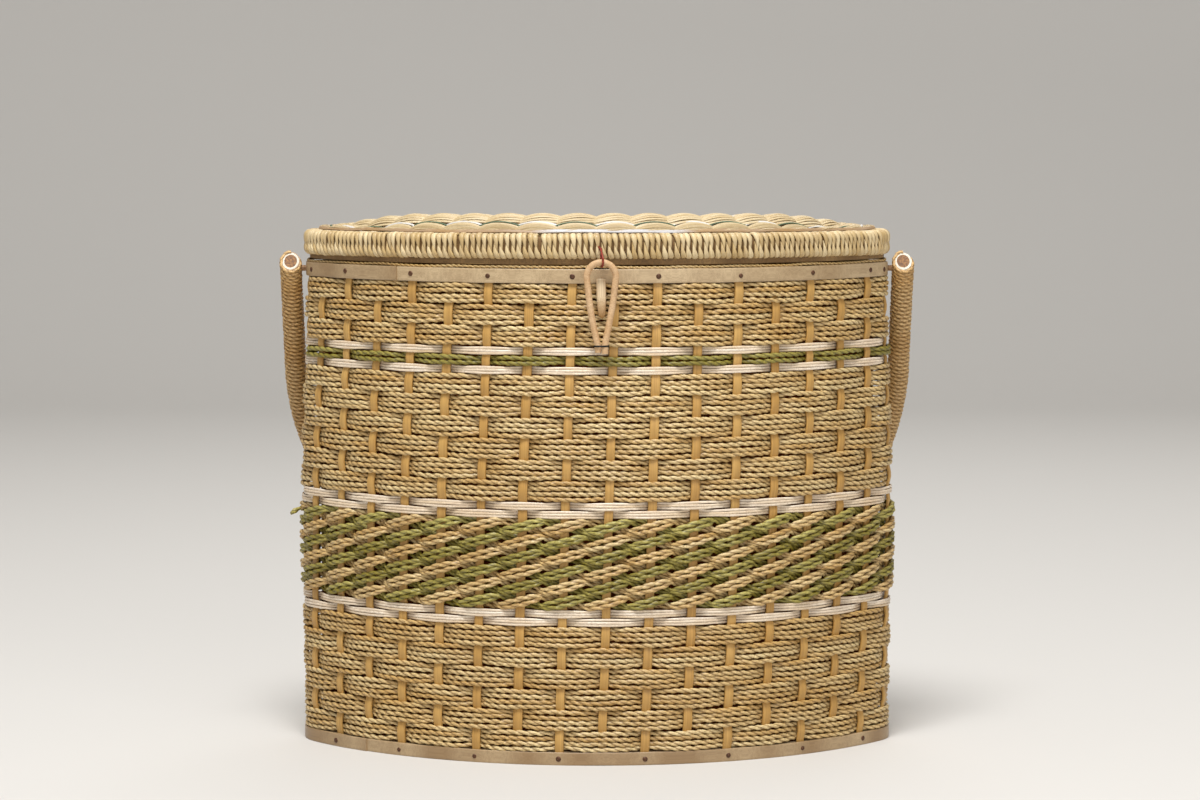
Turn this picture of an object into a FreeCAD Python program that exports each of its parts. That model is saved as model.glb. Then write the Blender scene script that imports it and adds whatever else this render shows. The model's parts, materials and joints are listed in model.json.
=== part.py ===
import FreeCAD, Part
import math
import os

from FreeCAD import Rotation, Vector

# A lens-shaped basket: flat stakes woven with rows of cord between nailed splint hoops,
# a wrapped and domed lid on two wire hinges at the back, a cane loop over a peg in front,
# and one cord-wrapped bail that hangs behind. Millimetres, +Z up, -Y is the front,
# origin under the middle of the base.

# Plan of the wall at the mouth, taken at the middle of the stakes, its spread towards the base and its belly
BODY_HALF_WIDTH = 148.0
BODY_HALF_DEPTH = 84.5
CORNER_RADIUS = 21.5
WALL_SPREAD = 2.1
WALL_BELLY = 2.4
WALL_LEVELS = 8

# Stakes
STAKE_COUNT = 34
STAKE_WIDTH = 4.6
STAKE_THICKNESS = 1.6
STAKE_LIFT = 0.4
STAKE_PHASE_SHARE = 0.56

# Weave
CORD_DIAMETER = 2.6
ROW_CORD_COUNT = 4
SPLINT_HEIGHT = 4.1
SPLINT_THICKNESS = 1.0
GREEN_CORD_COUNT = 2
TWINING_ROWS = 6
TWINING_STRAND_HEIGHT = 3.645
WEAVE_CLEARANCE = 0.42
ROW_GAP = 0.14
LOWER_ROWS = 6
MIDDLE_ROWS = 6
UPPER_ROWS = 3

# Hoops, tacks and base
BOTTOM_HOOP_HEIGHT = 6.5
TOP_HOOP_HEIGHT = 7.2
HOOP_THICKNESS = 1.5
HOOP_CLEARANCE = 0.2
RIM_CORD_WIDTH = 1.6
RIM_CORD_HEIGHT = 1.6
TACK_HEAD_RADIUS = 1.15
TACK_HEAD_THICKNESS = 0.5
TACK_SHANK_RADIUS = 0.6
BASE_THICKNESS = 3.0
BASE_CLEARANCE = 0.2

# Cloth lining
LINING_THICKNESS = 1.2
LINING_CLEARANCE = 0.4
LINING_TOP_SHORTFALL = 1.0

# Lid
LID_SIDE_OVERHANG = 4.6
LID_END_OVERHANG = 4.0
LID_CORNER_EASE = 9.3
LID_SEAT_GAP = 0.2
LID_HOOP_SHOWING = 3.6
LID_RIM_HEIGHT = 13.4
LID_RIM_WIDTH = 9.0
LID_RIM_ROUNDING = 3.0
LID_HOOP_THICKNESS = 2.0
LID_HOOP_HEIGHT = 14.0
LID_HOOP_CLEARANCE = 0.1
PANEL_CLEARANCE = 0.3
PANEL_THICKNESS = 4.0
PANEL_EDGE_DROP = 2.0
PANEL_CREST_RISE = 7.8
PANEL_BACK_FALL = 5.0
PANEL_SHOULDER_RISE = 2.0
PANEL_SHOULDER_SIDE_INSET = 14.0
PANEL_SHOULDER_END_INSET = 30.0
PANEL_CREST_END_INSET = 62.0
PANEL_CREST_SIDE_INSET = 26.0
LID_LINING_THICKNESS = 1.5
LID_LINING_LIFT = 0.6

# Wire hinges at the back
HINGE_WIRE_RADIUS = 0.9
HINGE_RUNNING_CLEARANCE = 0.08
HINGE_EYE_WIRE_RADIUS = 0.8
HINGE_STAPLE_HALF_SPAN = 5.0
HINGE_STANDOFF = 5.4
HINGE_BELOW_HOOP_TOP = 2.4
HINGE_LEG_RISE = 12.0
HINGE_BEND_RADIUS = 2.4

# Bail
HANDLE_WRAP_RADIUS = 6.0
HANDLE_SLEEVE_RADIUS = 4.4
HANDLE_CORE_RADIUS = 3.3
HANDLE_LID_CLEARANCE = 0.4
HANDLE_LEG = 60.0
HANDLE_STUB = 4.0
HANDLE_END_SLANT = 30.0
HANDLE_REST_CLEARANCE = 0.5
PIN_RADIUS = 1.5
PIN_RUNNING_CLEARANCE = 0.06
PIN_END_CLEARANCE = 0.3
PIN_PAST_AXIS = 2.4

# Clasp
CLASP_OFFSET = 2.3
PEG_WIDTH = 5.0
PEG_TIP_WIDTH = 3.4
PEG_DEPTH = 2.6
PEG_LENGTH = 17.0
PEG_SHANK_RADIUS = 1.2
PEG_WALL_GAP = 0.2
PEG_LOOP_GAP = 0.3
LOOP_ROD_RADIUS = 1.65
LOOP_TOP_RADIUS = 7.2
LOOP_HANG = 45.2
LOOP_TAIL = 4.6
LOOP_LEG_GAP = 0.2
LOOP_BEND_RADIUS = 8.0
LOOP_BELOW_RIM = 1.7
LOOP_TIE_HEIGHT = 0.9
LOOP_TIE_THICKNESS = 0.5
LOOP_TIE_CLEARANCE = 0.05
LOOP_TIE_ABOVE_TAIL = 0.4
CLASP_WIRE_RADIUS = 0.45
CLASP_WIRE_CLEARANCE = 0.08
CLASP_WIRE_RISE = 5.6

# Sizes that follow from those above
CUT_OVERRUN = 5.0
STAKE_HALF = STAKE_THICKNESS / 2
CORD_ROW_HEIGHT = CORD_DIAMETER * ROW_CORD_COUNT
GREEN_HEIGHT = CORD_DIAMETER * GREEN_CORD_COUNT
CORD_SWING = STAKE_HALF + CORD_DIAMETER / 2 + WEAVE_CLEARANCE
WALL_HALF = CORD_SWING + CORD_DIAMETER / 2
HOOP_NEAR = STAKE_HALF + HOOP_CLEARANCE
HOOP_FAR = HOOP_NEAR + HOOP_THICKNESS

# Woven rows from the base up, each with its thickness and height
stack = []
for number in range(LOWER_ROWS, 0, -1):
    stack.append((f"lower_cord_row_{number}", CORD_DIAMETER, CORD_ROW_HEIGHT))
stack.append(("lower_white_splint_2", SPLINT_THICKNESS, SPLINT_HEIGHT))
stack.append(("lower_white_splint_1", SPLINT_THICKNESS, SPLINT_HEIGHT))
stack.append(("twining", CORD_DIAMETER, 2 * TWINING_ROWS * (TWINING_STRAND_HEIGHT + ROW_GAP)))
stack.append(("middle_white_splint_2", SPLINT_THICKNESS, SPLINT_HEIGHT))
stack.append(("middle_white_splint_1", SPLINT_THICKNESS, SPLINT_HEIGHT))
for number in range(MIDDLE_ROWS, 0, -1):
    stack.append((f"middle_cord_row_{number}", CORD_DIAMETER, CORD_ROW_HEIGHT))
stack.append(("upper_white_splint_2", SPLINT_THICKNESS, SPLINT_HEIGHT))
stack.append(("green_cord_band", CORD_DIAMETER, GREEN_HEIGHT))
stack.append(("upper_white_splint_1", SPLINT_THICKNESS, SPLINT_HEIGHT))
for number in range(UPPER_ROWS, 0, -1):
    stack.append((f"upper_cord_row_{number}", CORD_DIAMETER, CORD_ROW_HEIGHT))
ROWS_HEIGHT = sum(height + ROW_GAP for name, thickness, height in stack)
TOP_HOOP_BOTTOM = BOTTOM_HOOP_HEIGHT + ROW_GAP + ROWS_HEIGHT
MOUTH = TOP_HOOP_BOTTOM + TOP_HOOP_HEIGHT


def spread(z):
    """How much further out than at the mouth the wall stands at height z."""
    share = z / MOUTH
    return WALL_SPREAD * (1 - share) + WALL_BELLY * math.sin(math.pi * share) ** 2


def lens_radius(half_width, half_depth, corner):
    """Radius of the broad front and back arcs of a lens with rounded ends."""
    reach = half_width - corner
    return (reach ** 2 + half_depth ** 2 - corner ** 2) / (2 * (half_depth - corner))


def lens_wire(half_width, half_depth, corner, z):
    """Closed outline of two broad arcs and two tangent end arcs at height z."""
    broad = lens_radius(half_width, half_depth, corner)
    turn = math.atan2(half_width - corner, broad - half_depth)
    x = broad * math.sin(turn)
    y = corner * math.cos(turn)
    front_left = Vector(-x, -y, z)
    front_right = Vector(x, -y, z)
    back_right = Vector(x, y, z)
    back_left = Vector(-x, y, z)
    arcs = [
        Part.Arc(front_left, Vector(0, -half_depth, z), front_right),
        Part.Arc(front_right, Vector(half_width, 0, z), back_right),
        Part.Arc(back_right, Vector(0, half_depth, z), back_left),
        Part.Arc(back_left, Vector(-half_width, 0, z), front_left),
    ]
    return Part.Wire([arc.toShape() for arc in arcs])


def body_wire(offset, z):
    """The wall's plan moved out by offset."""
    return lens_wire(BODY_HALF_WIDTH + offset, BODY_HALF_DEPTH + offset, CORNER_RADIUS + offset, z)


def lid_wire(inset, z):
    """The lid's outer plan moved in by inset."""
    half_width = BODY_HALF_WIDTH + LID_END_OVERHANG - inset
    half_depth = BODY_HALF_DEPTH + LID_SIDE_OVERHANG - inset
    return lens_wire(half_width, half_depth, CORNER_RADIUS + LID_CORNER_EASE - inset, z)


def plate(wire, height):
    """A flat plate of the wire's outline."""
    return Part.Face(wire).extrude(Vector(0, 0, height))


def ring(outer, inner, height):
    """An upright band between two outlines."""
    face = Part.makeFace([outer, inner], "Part::FaceMakerBullseye")
    return face.extrude(Vector(0, 0, height))


BROAD_RADIUS = lens_radius(BODY_HALF_WIDTH, BODY_HALF_DEPTH, CORNER_RADIUS)
BROAD_CENTRE = BROAD_RADIUS - BODY_HALF_DEPTH
CORNER_REACH = BODY_HALF_WIDTH - CORNER_RADIUS
BROAD_TURN = math.atan2(CORNER_REACH, BROAD_CENTRE)
BROAD_HALF_LENGTH = BROAD_RADIUS * BROAD_TURN
CORNER_LENGTH = CORNER_RADIUS * (math.pi - 2 * BROAD_TURN)
GIRTH = 4 * BROAD_HALF_LENGTH + 2 * CORNER_LENGTH
STAKE_PITCH = GIRTH / STAKE_COUNT


def plan_point(along, offset):
    """Point and outward angle on the wall's plan, along from the front middle towards +X."""
    along = along % GIRTH
    half = GIRTH / 2
    flip = along > half
    if flip:
        along = GIRTH - along
    if along <= BROAD_HALF_LENGTH:
        centre = Vector(0, BROAD_CENTRE, 0)
        turn = along / BROAD_RADIUS
        radius = BROAD_RADIUS
    elif along <= BROAD_HALF_LENGTH + CORNER_LENGTH:
        centre = Vector(CORNER_REACH, 0, 0)
        turn = BROAD_TURN + (along - BROAD_HALF_LENGTH) / CORNER_RADIUS
        radius = CORNER_RADIUS
    else:
        centre = Vector(0, -BROAD_CENTRE, 0)
        turn = math.pi - (half - along) / BROAD_RADIUS
        radius = BROAD_RADIUS
    outward = Vector(math.sin(turn), -math.cos(turn), 0)
    point = centre + outward * (radius + offset)
    if flip:
        point.x = -point.x
        outward.x = -outward.x
    return point, math.degrees(math.atan2(outward.y, outward.x))


def stake_place(index):
    """Where stake number index stands along the plan. Even ones are the tacked stakes."""
    return (index - STAKE_PHASE_SHARE) * STAKE_PITCH


def stand(shape, index, offset, z):
    """Turn a shape drawn facing +X to face outward at a stake and put it there."""
    point, angle = plan_point(stake_place(index), offset)
    point.z = z
    shape.Placement = FreeCAD.Placement(point, Rotation(Vector(0, 0, 1), angle))
    return shape


def weaver(thickness, height, z, first):
    """A band that passes outside every second stake, from stake first, and inside the others."""
    swing = STAKE_HALF + thickness / 2 + WEAVE_CLEARANCE
    outset = spread(z + height / 2)
    sides = []
    for side in (outset + thickness / 2, outset - thickness / 2):
        edges = []
        for index in range(STAKE_COUNT):
            out = swing if index % 2 == first else -swing
            middle = stake_place(index)
            crest = plan_point(middle, out + side)[0]
            before = plan_point(middle - STAKE_PITCH / 2, side)[0]
            after = plan_point(middle + STAKE_PITCH / 2, side)[0]
            edges.append(Part.Arc(before, crest, after).toShape())
        sides.append(Part.Wire(edges))
    band = ring(sides[0], sides[1], height)
    band.translate(Vector(0, 0, z))
    return band


def pipe(path, radius, start, direction):
    """A round rod of the given radius along a path that leaves start in a direction."""
    circle = Part.Wire(Part.Circle(start, direction, radius).toShape())
    shell = Part.BRepOffsetAPI.MakePipeShell(path)
    shell.add(circle)
    shell.build()
    shell.makeSolid()
    return shell.shape()


pieces = {}

# Every second woven row passes outside the tacked stakes
level = BOTTOM_HOOP_HEIGHT + ROW_GAP
for order, (name, thickness, height) in enumerate(stack):
    if name == "twining":
        strands = {0: [], 1: []}
        for row in range(TWINING_ROWS):
            for strand in (0, 1):
                z = level + (2 * row + strand) * (TWINING_STRAND_HEIGHT + ROW_GAP)
                first = (row + strand) % 2
                strands[strand].append(weaver(thickness, TWINING_STRAND_HEIGHT, z, first))
        pieces["twining_green_strands"] = Part.makeCompound(strands[0])
        pieces["twining_straw_strands"] = Part.makeCompound(strands[1])
    else:
        pieces[name] = weaver(thickness, height, level, 1 - order % 2)
    level += height + ROW_GAP

# Hoops: one outside and one inside the stakes at each end
for name, z, height in (
    ("bottom_hoop", 0, BOTTOM_HOOP_HEIGHT),
    ("top_hoop", TOP_HOOP_BOTTOM, TOP_HOOP_HEIGHT),
):
    out = spread(z + height / 2)
    pieces[name + "_outer"] = ring(body_wire(out + HOOP_FAR, z), body_wire(out + HOOP_NEAR, z), height)
    pieces[name + "_inner"] = ring(body_wire(out - HOOP_NEAR, z), body_wire(out - HOOP_FAR, z), height)

# Stakes between the hoops, bent to the belly


def stake_face(offset):
    """Curve from foot to top on a stake's face that stands offset outside the stake's middle."""
    points = []
    for step in range(WALL_LEVELS + 1):
        z = STAKE_LIFT + (MOUTH - STAKE_LIFT) * step / WALL_LEVELS
        points.append(Vector(spread(z) + offset, -STAKE_WIDTH / 2, z))
    curve = Part.BSplineCurve()
    curve.interpolate(points)
    return curve.toShape(), points[0], points[-1]


outer_face, outer_foot, outer_top = stake_face(STAKE_HALF)
inner_face, inner_foot, inner_top = stake_face(-STAKE_HALF)
foot_edge = Part.makeLine(inner_foot, outer_foot)
top_edge = Part.makeLine(outer_top, inner_top)
stake_side = Part.Face(Part.Wire(Part.__sortEdges__([outer_face, top_edge, inner_face, foot_edge])))
stakes = {0: [], 1: []}
for index in range(STAKE_COUNT):
    blade = stake_side.extrude(Vector(0, STAKE_WIDTH, 0))
    stakes[index % 2].append(stand(blade, index, 0, 0))
pieces["tacked_stakes"] = Part.makeCompound(stakes[0])
pieces["plain_stakes"] = Part.makeCompound(stakes[1])

# Tacks through the hoops at every second stake, left out where the bail's pin goes in
PIN_HEIGHT = TOP_HOOP_BOTTOM + TOP_HOOP_HEIGHT / 2
pin_room = TACK_HEAD_RADIUS + PIN_RADIUS


def tack(index, z):
    """One tack with its head on the outer hoop and its point at the inner hoop's inside."""
    outward = Vector(1, 0, 0)
    shank = Part.makeCylinder(TACK_SHANK_RADIUS, 2 * HOOP_FAR, Vector(-2 * HOOP_FAR, 0, 0), outward)
    head = Part.makeCylinder(TACK_HEAD_RADIUS, TACK_HEAD_THICKNESS, Vector(0, 0, 0), outward)
    return stand(shank.fuse(head), index, spread(z) + HOOP_FAR, z)


top_tacks = []
bottom_tacks = []
for index in range(0, STAKE_COUNT, 2):
    bottom_tacks.append(tack(index, BOTTOM_HOOP_HEIGHT / 2))
    if abs(stake_place(index) % (GIRTH / 2) - GIRTH / 4) > pin_room:
        top_tacks.append(tack(index, PIN_HEIGHT))
pieces["top_tacks"] = Part.makeCompound(top_tacks)
pieces["bottom_tacks"] = Part.makeCompound(bottom_tacks)

# Twisted cord along the mouth, base board and cloth lining
rim_half = RIM_CORD_WIDTH / 2
pieces["rim_cord"] = ring(body_wire(rim_half, MOUTH), body_wire(-rim_half, MOUTH), RIM_CORD_HEIGHT)
base_edge = spread(BOTTOM_HOOP_HEIGHT / 2) - HOOP_FAR - BASE_CLEARANCE
pieces["base_board"] = plate(body_wire(base_edge, 0), BASE_THICKNESS)

lining_outer = -WALL_HALF - LINING_CLEARANCE
lining_inner = lining_outer - LINING_THICKNESS
lining_height = MOUTH - LINING_TOP_SHORTFALL - BASE_THICKNESS
lining_floor = BASE_THICKNESS + LINING_THICKNESS
lining_space = plate(body_wire(lining_inner, lining_floor), lining_height)
pieces["lining"] = plate(body_wire(lining_outer, BASE_THICKNESS), lining_height).cut(lining_space)

# Lid: splint hoop standing in the slot of a cord-wrapped rim, woven dome and lining
SEAT_BOTTOM = MOUTH + RIM_CORD_HEIGHT + LID_SEAT_GAP
RIM_BOTTOM = SEAT_BOTTOM + LID_HOOP_SHOWING
RIM_TOP = RIM_BOTTOM + LID_RIM_HEIGHT
rim_middle = LID_RIM_WIDTH / 2
hoop_outer = rim_middle - LID_HOOP_THICKNESS / 2
hoop_inner = rim_middle + LID_HOOP_THICKNESS / 2
pieces["lid_hoop"] = ring(
    lid_wire(hoop_outer, SEAT_BOTTOM), lid_wire(hoop_inner, SEAT_BOTTOM), LID_HOOP_HEIGHT
)

rim_solid = ring(lid_wire(0, RIM_BOTTOM), lid_wire(LID_RIM_WIDTH, RIM_BOTTOM), LID_RIM_HEIGHT)
flat_edges = [edge for edge in rim_solid.Edges if edge.BoundBox.ZLength < LID_HOOP_CLEARANCE]
rim_solid = rim_solid.makeFillet(LID_RIM_ROUNDING, flat_edges)
hoop_room = ring(
    lid_wire(hoop_outer - LID_HOOP_CLEARANCE, SEAT_BOTTOM),
    lid_wire(hoop_inner + LID_HOOP_CLEARANCE, SEAT_BOTTOM),
    LID_HOOP_HEIGHT + LID_HOOP_CLEARANCE,
)
pieces["lid_rim_wrap"] = rim_solid.cut(hoop_room)

panel_inset = LID_RIM_WIDTH + PANEL_CLEARANCE
lid_half_width = BODY_HALF_WIDTH + LID_END_OVERHANG
lid_half_depth = BODY_HALF_DEPTH + LID_SIDE_OVERHANG
crest_half_width = lid_half_width - PANEL_CREST_END_INSET
crest_half_depth = lid_half_depth - PANEL_CREST_SIDE_INSET
shoulder_half_width = lid_half_width - PANEL_SHOULDER_END_INSET
shoulder_half_depth = lid_half_depth - PANEL_SHOULDER_SIDE_INSET
crest_tilt = math.degrees(math.asin(PANEL_BACK_FALL / 2 / crest_half_depth))


def dome(drop, inset):
    """The lid's pillow shape, highest towards the front, lowered by drop and drawn in by inset."""
    edge_z = RIM_TOP - PANEL_EDGE_DROP
    bottom = edge_z - PANEL_THICKNESS
    shoulder_z = RIM_TOP + PANEL_SHOULDER_RISE - drop
    crest_z = RIM_TOP + PANEL_CREST_RISE - PANEL_BACK_FALL / 2 - drop
    crest = lens_wire(crest_half_width, crest_half_depth, CORNER_RADIUS, crest_z)
    crest.rotate(Vector(0, 0, crest_z), Vector(1, 0, 0), -crest_tilt)
    sections = [
        lid_wire(panel_inset + inset, bottom - drop),
        lid_wire(panel_inset + inset, edge_z - drop),
        lens_wire(shoulder_half_width - inset, shoulder_half_depth - inset, CORNER_RADIUS, shoulder_z),
        crest,
    ]
    return Part.makeLoft(sections, True, True)


pieces["lid_panel"] = dome(0, 0).cut(dome(PANEL_THICKNESS, PANEL_THICKNESS))
lid_lining_z = RIM_BOTTOM + LID_LINING_LIFT
pieces["lid_lining"] = plate(lid_wire(panel_inset, lid_lining_z), LID_LINING_THICKNESS)

# Wire hinges: an eye in the top hoop and a staple from the lid's rim through it
HINGE_AXIS_Y = BODY_HALF_DEPTH + LID_SIDE_OVERHANG + HINGE_STANDOFF
HINGE_AXIS_Z = MOUTH - HINGE_BELOW_HOOP_TOP
eye_bore = HINGE_WIRE_RADIUS + HINGE_RUNNING_CLEARANCE
eye_radius = eye_bore + HINGE_EYE_WIRE_RADIUS
back_stake = STAKE_COUNT // 2
hinge_gaps = {"left": back_stake + 1, "right": back_stake - 1}
lid_behind = HINGE_AXIS_Y - HINGE_STANDOFF - rim_middle


def hinge_eye(root):
    """A wire ring round the hinge axis with a shank from root, inside the inner hoop, through both hoops."""
    centre = Vector(root.x, HINGE_AXIS_Y, HINGE_AXIS_Z)
    eye = Part.makeTorus(eye_radius, HINGE_EYE_WIRE_RADIUS, centre, Vector(1, 0, 0))
    length = HINGE_AXIS_Y - eye_radius - root.y
    shank = Part.makeCylinder(HINGE_EYE_WIRE_RADIUS, length, root, Vector(0, 1, 0))
    return eye.fuse(shank)


def hinge_staple(x):
    """A wire bent into a flat U whose bar lies on the hinge axis and whose ends enter the rim."""
    bend = HINGE_BEND_RADIUS
    edge = bend * (1 - math.sqrt(0.5))
    top = HINGE_AXIS_Z + HINGE_LEG_RISE
    y = HINGE_AXIS_Y
    z = HINGE_AXIS_Z
    legs = []
    for side in (-1, 1):
        end = x + side * HINGE_STAPLE_HALF_SPAN
        near = end - side * bend
        foot = Vector(near, y, z)
        rise = Vector(end, y, z + bend)
        shoulder = Vector(end, y, top - bend)
        turned = Vector(end, y - bend, top)
        tip = Vector(end, lid_behind, top)
        low = Part.Arc(foot, Vector(end - side * edge, y, z + edge), rise).toShape()
        up = Part.makeLine(rise, shoulder)
        high = Part.Arc(shoulder, Vector(end, y - edge, top - edge), turned).toShape()
        inward = Part.makeLine(turned, tip)
        legs.append([low, up, high, inward])
    left = Vector(x - HINGE_STAPLE_HALF_SPAN + bend, y, z)
    right = Vector(x + HINGE_STAPLE_HALF_SPAN - bend, y, z)
    path = Part.Wire(Part.__sortEdges__(legs[0] + [Part.makeLine(left, right)] + legs[1]))
    tip = Vector(x - HINGE_STAPLE_HALF_SPAN, lid_behind, top)
    return pipe(path, HINGE_WIRE_RADIUS, tip, Vector(0, 1, 0))


for name, gap in hinge_gaps.items():
    root = plan_point(stake_place(gap) + STAKE_PITCH / 2, -HOOP_FAR)[0]
    root.z = HINGE_AXIS_Z
    pieces[f"hinge_eye_{name}"] = hinge_eye(root)
    pieces[f"hinge_staple_{name}"] = hinge_staple(root.x)

# Bail: cane core, pale sleeve and cord wrap along two legs and a half-round bow
HANDLE_HALF_SPAN = BODY_HALF_WIDTH + LID_END_OVERHANG + HANDLE_LID_CLEARANCE + HANDLE_WRAP_RADIUS
HANDLE_REACH = HANDLE_LEG + HANDLE_HALF_SPAN
widest = max(spread(MOUTH * step / WALL_LEVELS) for step in range(WALL_LEVELS))
rest_offset = BODY_HALF_DEPTH + widest + WALL_HALF + HANDLE_WRAP_RADIUS + HANDLE_REST_CLEARANCE
HANDLE_REST_LEAN = math.degrees(math.asin(rest_offset / HANDLE_REACH))
HANDLE_REST_TURN = HANDLE_REST_LEAN - 180
pivot = Vector(0, 0, PIN_HEIGHT)
slant_reach = HANDLE_WRAP_RADIUS * math.tan(math.radians(HANDLE_END_SLANT))


def bail_rod(radius):
    """A round rod of the bail, standing up over the pivot, with slanting ends."""
    low = -HANDLE_STUB - 2 * slant_reach
    span = HANDLE_HALF_SPAN
    first = Vector(-span, 0, low)
    path = Part.Wire([
        Part.makeLine(first, Vector(-span, 0, HANDLE_LEG)),
        Part.Arc(
            Vector(-span, 0, HANDLE_LEG), Vector(0, 0, HANDLE_REACH), Vector(span, 0, HANDLE_LEG)
        ).toShape(),
        Part.makeLine(Vector(span, 0, HANDLE_LEG), Vector(span, 0, low)),
    ])
    rod = pipe(path, radius, first, Vector(0, 0, 1))
    width = 2 * (span + HANDLE_WRAP_RADIUS + CUT_OVERRUN)
    depth = 2 * (HANDLE_WRAP_RADIUS + CUT_OVERRUN) + 2 * slant_reach
    height = HANDLE_STUB + 2 * slant_reach + CUT_OVERRUN
    below = Part.makeBox(width, depth, height, Vector(-width / 2, -depth / 2, -height))
    below.rotate(Vector(0, 0, 0), Vector(1, 0, 0), HANDLE_END_SLANT)
    below.translate(Vector(0, 0, -HANDLE_STUB))
    return rod.cut(below)


def bail_rest(shape):
    """Swing an upright bail piece down behind the body and lift it to its pins."""
    shape.rotate(Vector(0, 0, 0), Vector(1, 0, 0), HANDLE_REST_TURN)
    shape.translate(pivot)
    return shape


pin_tip = HANDLE_HALF_SPAN + PIN_PAST_AXIS
pin_root = BODY_HALF_WIDTH - HOOP_FAR
bores = []
for side in (-1, 1):
    outward = Vector(side, 0, 0)
    start = Vector(side * pin_root, 0, 0)
    name = "left" if side < 0 else "right"
    pin = Part.makeCylinder(PIN_RADIUS, pin_tip - pin_root, start + pivot, outward)
    pieces[f"handle_pin_{name}"] = pin
    bore_length = pin_tip - pin_root + PIN_END_CLEARANCE
    bores.append(Part.makeCylinder(PIN_RADIUS + PIN_RUNNING_CLEARANCE, bore_length, start, outward))
core = bail_rod(HANDLE_CORE_RADIUS)
sleeve = bail_rod(HANDLE_SLEEVE_RADIUS)
wrap = bail_rod(HANDLE_WRAP_RADIUS)
pieces["handle_core"] = bail_rest(core.cut(bores))
pieces["handle_sleeve"] = bail_rest(sleeve.cut([core] + bores))
pieces["handle_wrap"] = bail_rest(wrap.cut([sleeve] + bores))

# Clasp: a split-cane peg in the wall, a bent cane loop and the wire that hangs it from the rim
peg_top = TOP_HOOP_BOTTOM - ROW_GAP
peg_bottom = peg_top - PEG_LENGTH
front = -BODY_HALF_DEPTH - spread(peg_bottom) - WALL_HALF - PEG_WALL_GAP
peg_front = front - PEG_DEPTH


def peg_section(width, depth, z):
    """Half-round outline of the peg with its flat side against the wall."""
    half = width / 2
    left = Vector(CLASP_OFFSET - half, front, z)
    right = Vector(CLASP_OFFSET + half, front, z)
    nose = Part.Arc(left, Vector(CLASP_OFFSET, front - depth, z), right)
    return Part.Wire([nose.toShape(), Part.makeLine(right, left)])


peg_tip_depth = PEG_DEPTH * PEG_TIP_WIDTH / PEG_WIDTH
peg = Part.makeLoft(
    [peg_section(PEG_TIP_WIDTH, peg_tip_depth, peg_bottom), peg_section(PEG_WIDTH, PEG_DEPTH, peg_top)],
    True,
    True,
)
peg_shank_z = peg_top - CORD_ROW_HEIGHT / 2
peg_shank_root = Vector(CLASP_OFFSET, front - PEG_DEPTH / 2, peg_shank_z)
peg_shank = Part.makeCylinder(
    PEG_SHANK_RADIUS, 2 * WALL_HALF + PEG_DEPTH / 2, peg_shank_root, Vector(0, 1, 0)
)
pieces["clasp_peg"] = peg.fuse(peg_shank)

LOOP_Y = peg_front - PEG_LOOP_GAP - LOOP_ROD_RADIUS
LOOP_PIVOT_Z = RIM_BOTTOM - LOOP_BELOW_RIM
loop_pivot = Vector(CLASP_OFFSET, LOOP_Y, LOOP_PIVOT_Z)
tail_x = LOOP_ROD_RADIUS + LOOP_LEG_GAP / 2
bow_z = -LOOP_TOP_RADIUS
tail_top = LOOP_TAIL - LOOP_HANG
run_x = LOOP_TOP_RADIUS + LOOP_BEND_RADIUS
fall_x = tail_x + LOOP_BEND_RADIUS
fall_z = tail_top - bow_z
lean = math.atan2(-fall_z, fall_x) - math.acos(run_x / math.hypot(fall_x, fall_z))


def loop_side(side):
    """Points of one leg from the bow's end to the tail: bow end, bend start, bend middle, tail."""
    bow_end = Vector(side * LOOP_TOP_RADIUS * math.cos(lean), 0, bow_z - LOOP_TOP_RADIUS * math.sin(lean))
    bend_start = Vector(side * (fall_x - LOOP_BEND_RADIUS * math.cos(lean)), 0,
                        tail_top + LOOP_BEND_RADIUS * math.sin(lean))
    bend_middle = Vector(side * (fall_x - LOOP_BEND_RADIUS * math.cos(lean / 2)), 0,
                         tail_top + LOOP_BEND_RADIUS * math.sin(lean / 2))
    tail = Vector(side * tail_x, 0, tail_top)
    return bow_end, bend_start, bend_middle, tail


left_bow, left_bend, left_middle, left_tail = loop_side(-1)
right_bow, right_bend, right_middle, right_tail = loop_side(1)
left_end = Vector(-tail_x, 0, -LOOP_HANG)
right_end = Vector(tail_x, 0, -LOOP_HANG)
loop_path = Part.Wire([
    Part.makeLine(left_end, left_tail),
    Part.Arc(left_tail, left_middle, left_bend).toShape(),
    Part.makeLine(left_bend, left_bow),
    Part.Arc(left_bow, Vector(0, 0, 0), right_bow).toShape(),
    Part.makeLine(right_bow, right_bend),
    Part.Arc(right_bend, right_middle, right_tail).toShape(),
    Part.makeLine(right_tail, right_end),
])
loop = pipe(loop_path, LOOP_ROD_RADIUS, left_end, Vector(0, 0, 1))
loop.translate(loop_pivot)
pieces["clasp_loop"] = loop


def tie_wire(growth, z):
    """Oblong outline round both tails of the loop, grown past the cane by growth."""
    radius = LOOP_ROD_RADIUS + growth
    left_front = Vector(-tail_x, -radius, z)
    right_front = Vector(tail_x, -radius, z)
    right_back = Vector(tail_x, radius, z)
    left_back = Vector(-tail_x, radius, z)
    return Part.Wire([
        Part.makeLine(left_front, right_front),
        Part.Arc(right_front, Vector(tail_x + radius, 0, z), right_back).toShape(),
        Part.makeLine(right_back, left_back),
        Part.Arc(left_back, Vector(-tail_x - radius, 0, z), left_front).toShape(),
    ])


tie_z = tail_top - LOOP_TIE_ABOVE_TAIL - LOOP_TIE_HEIGHT
tie = ring(
    tie_wire(LOOP_TIE_CLEARANCE + LOOP_TIE_THICKNESS, tie_z),
    tie_wire(LOOP_TIE_CLEARANCE, tie_z),
    LOOP_TIE_HEIGHT,
)
tie.translate(loop_pivot)
pieces["loop_tie"] = tie

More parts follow.
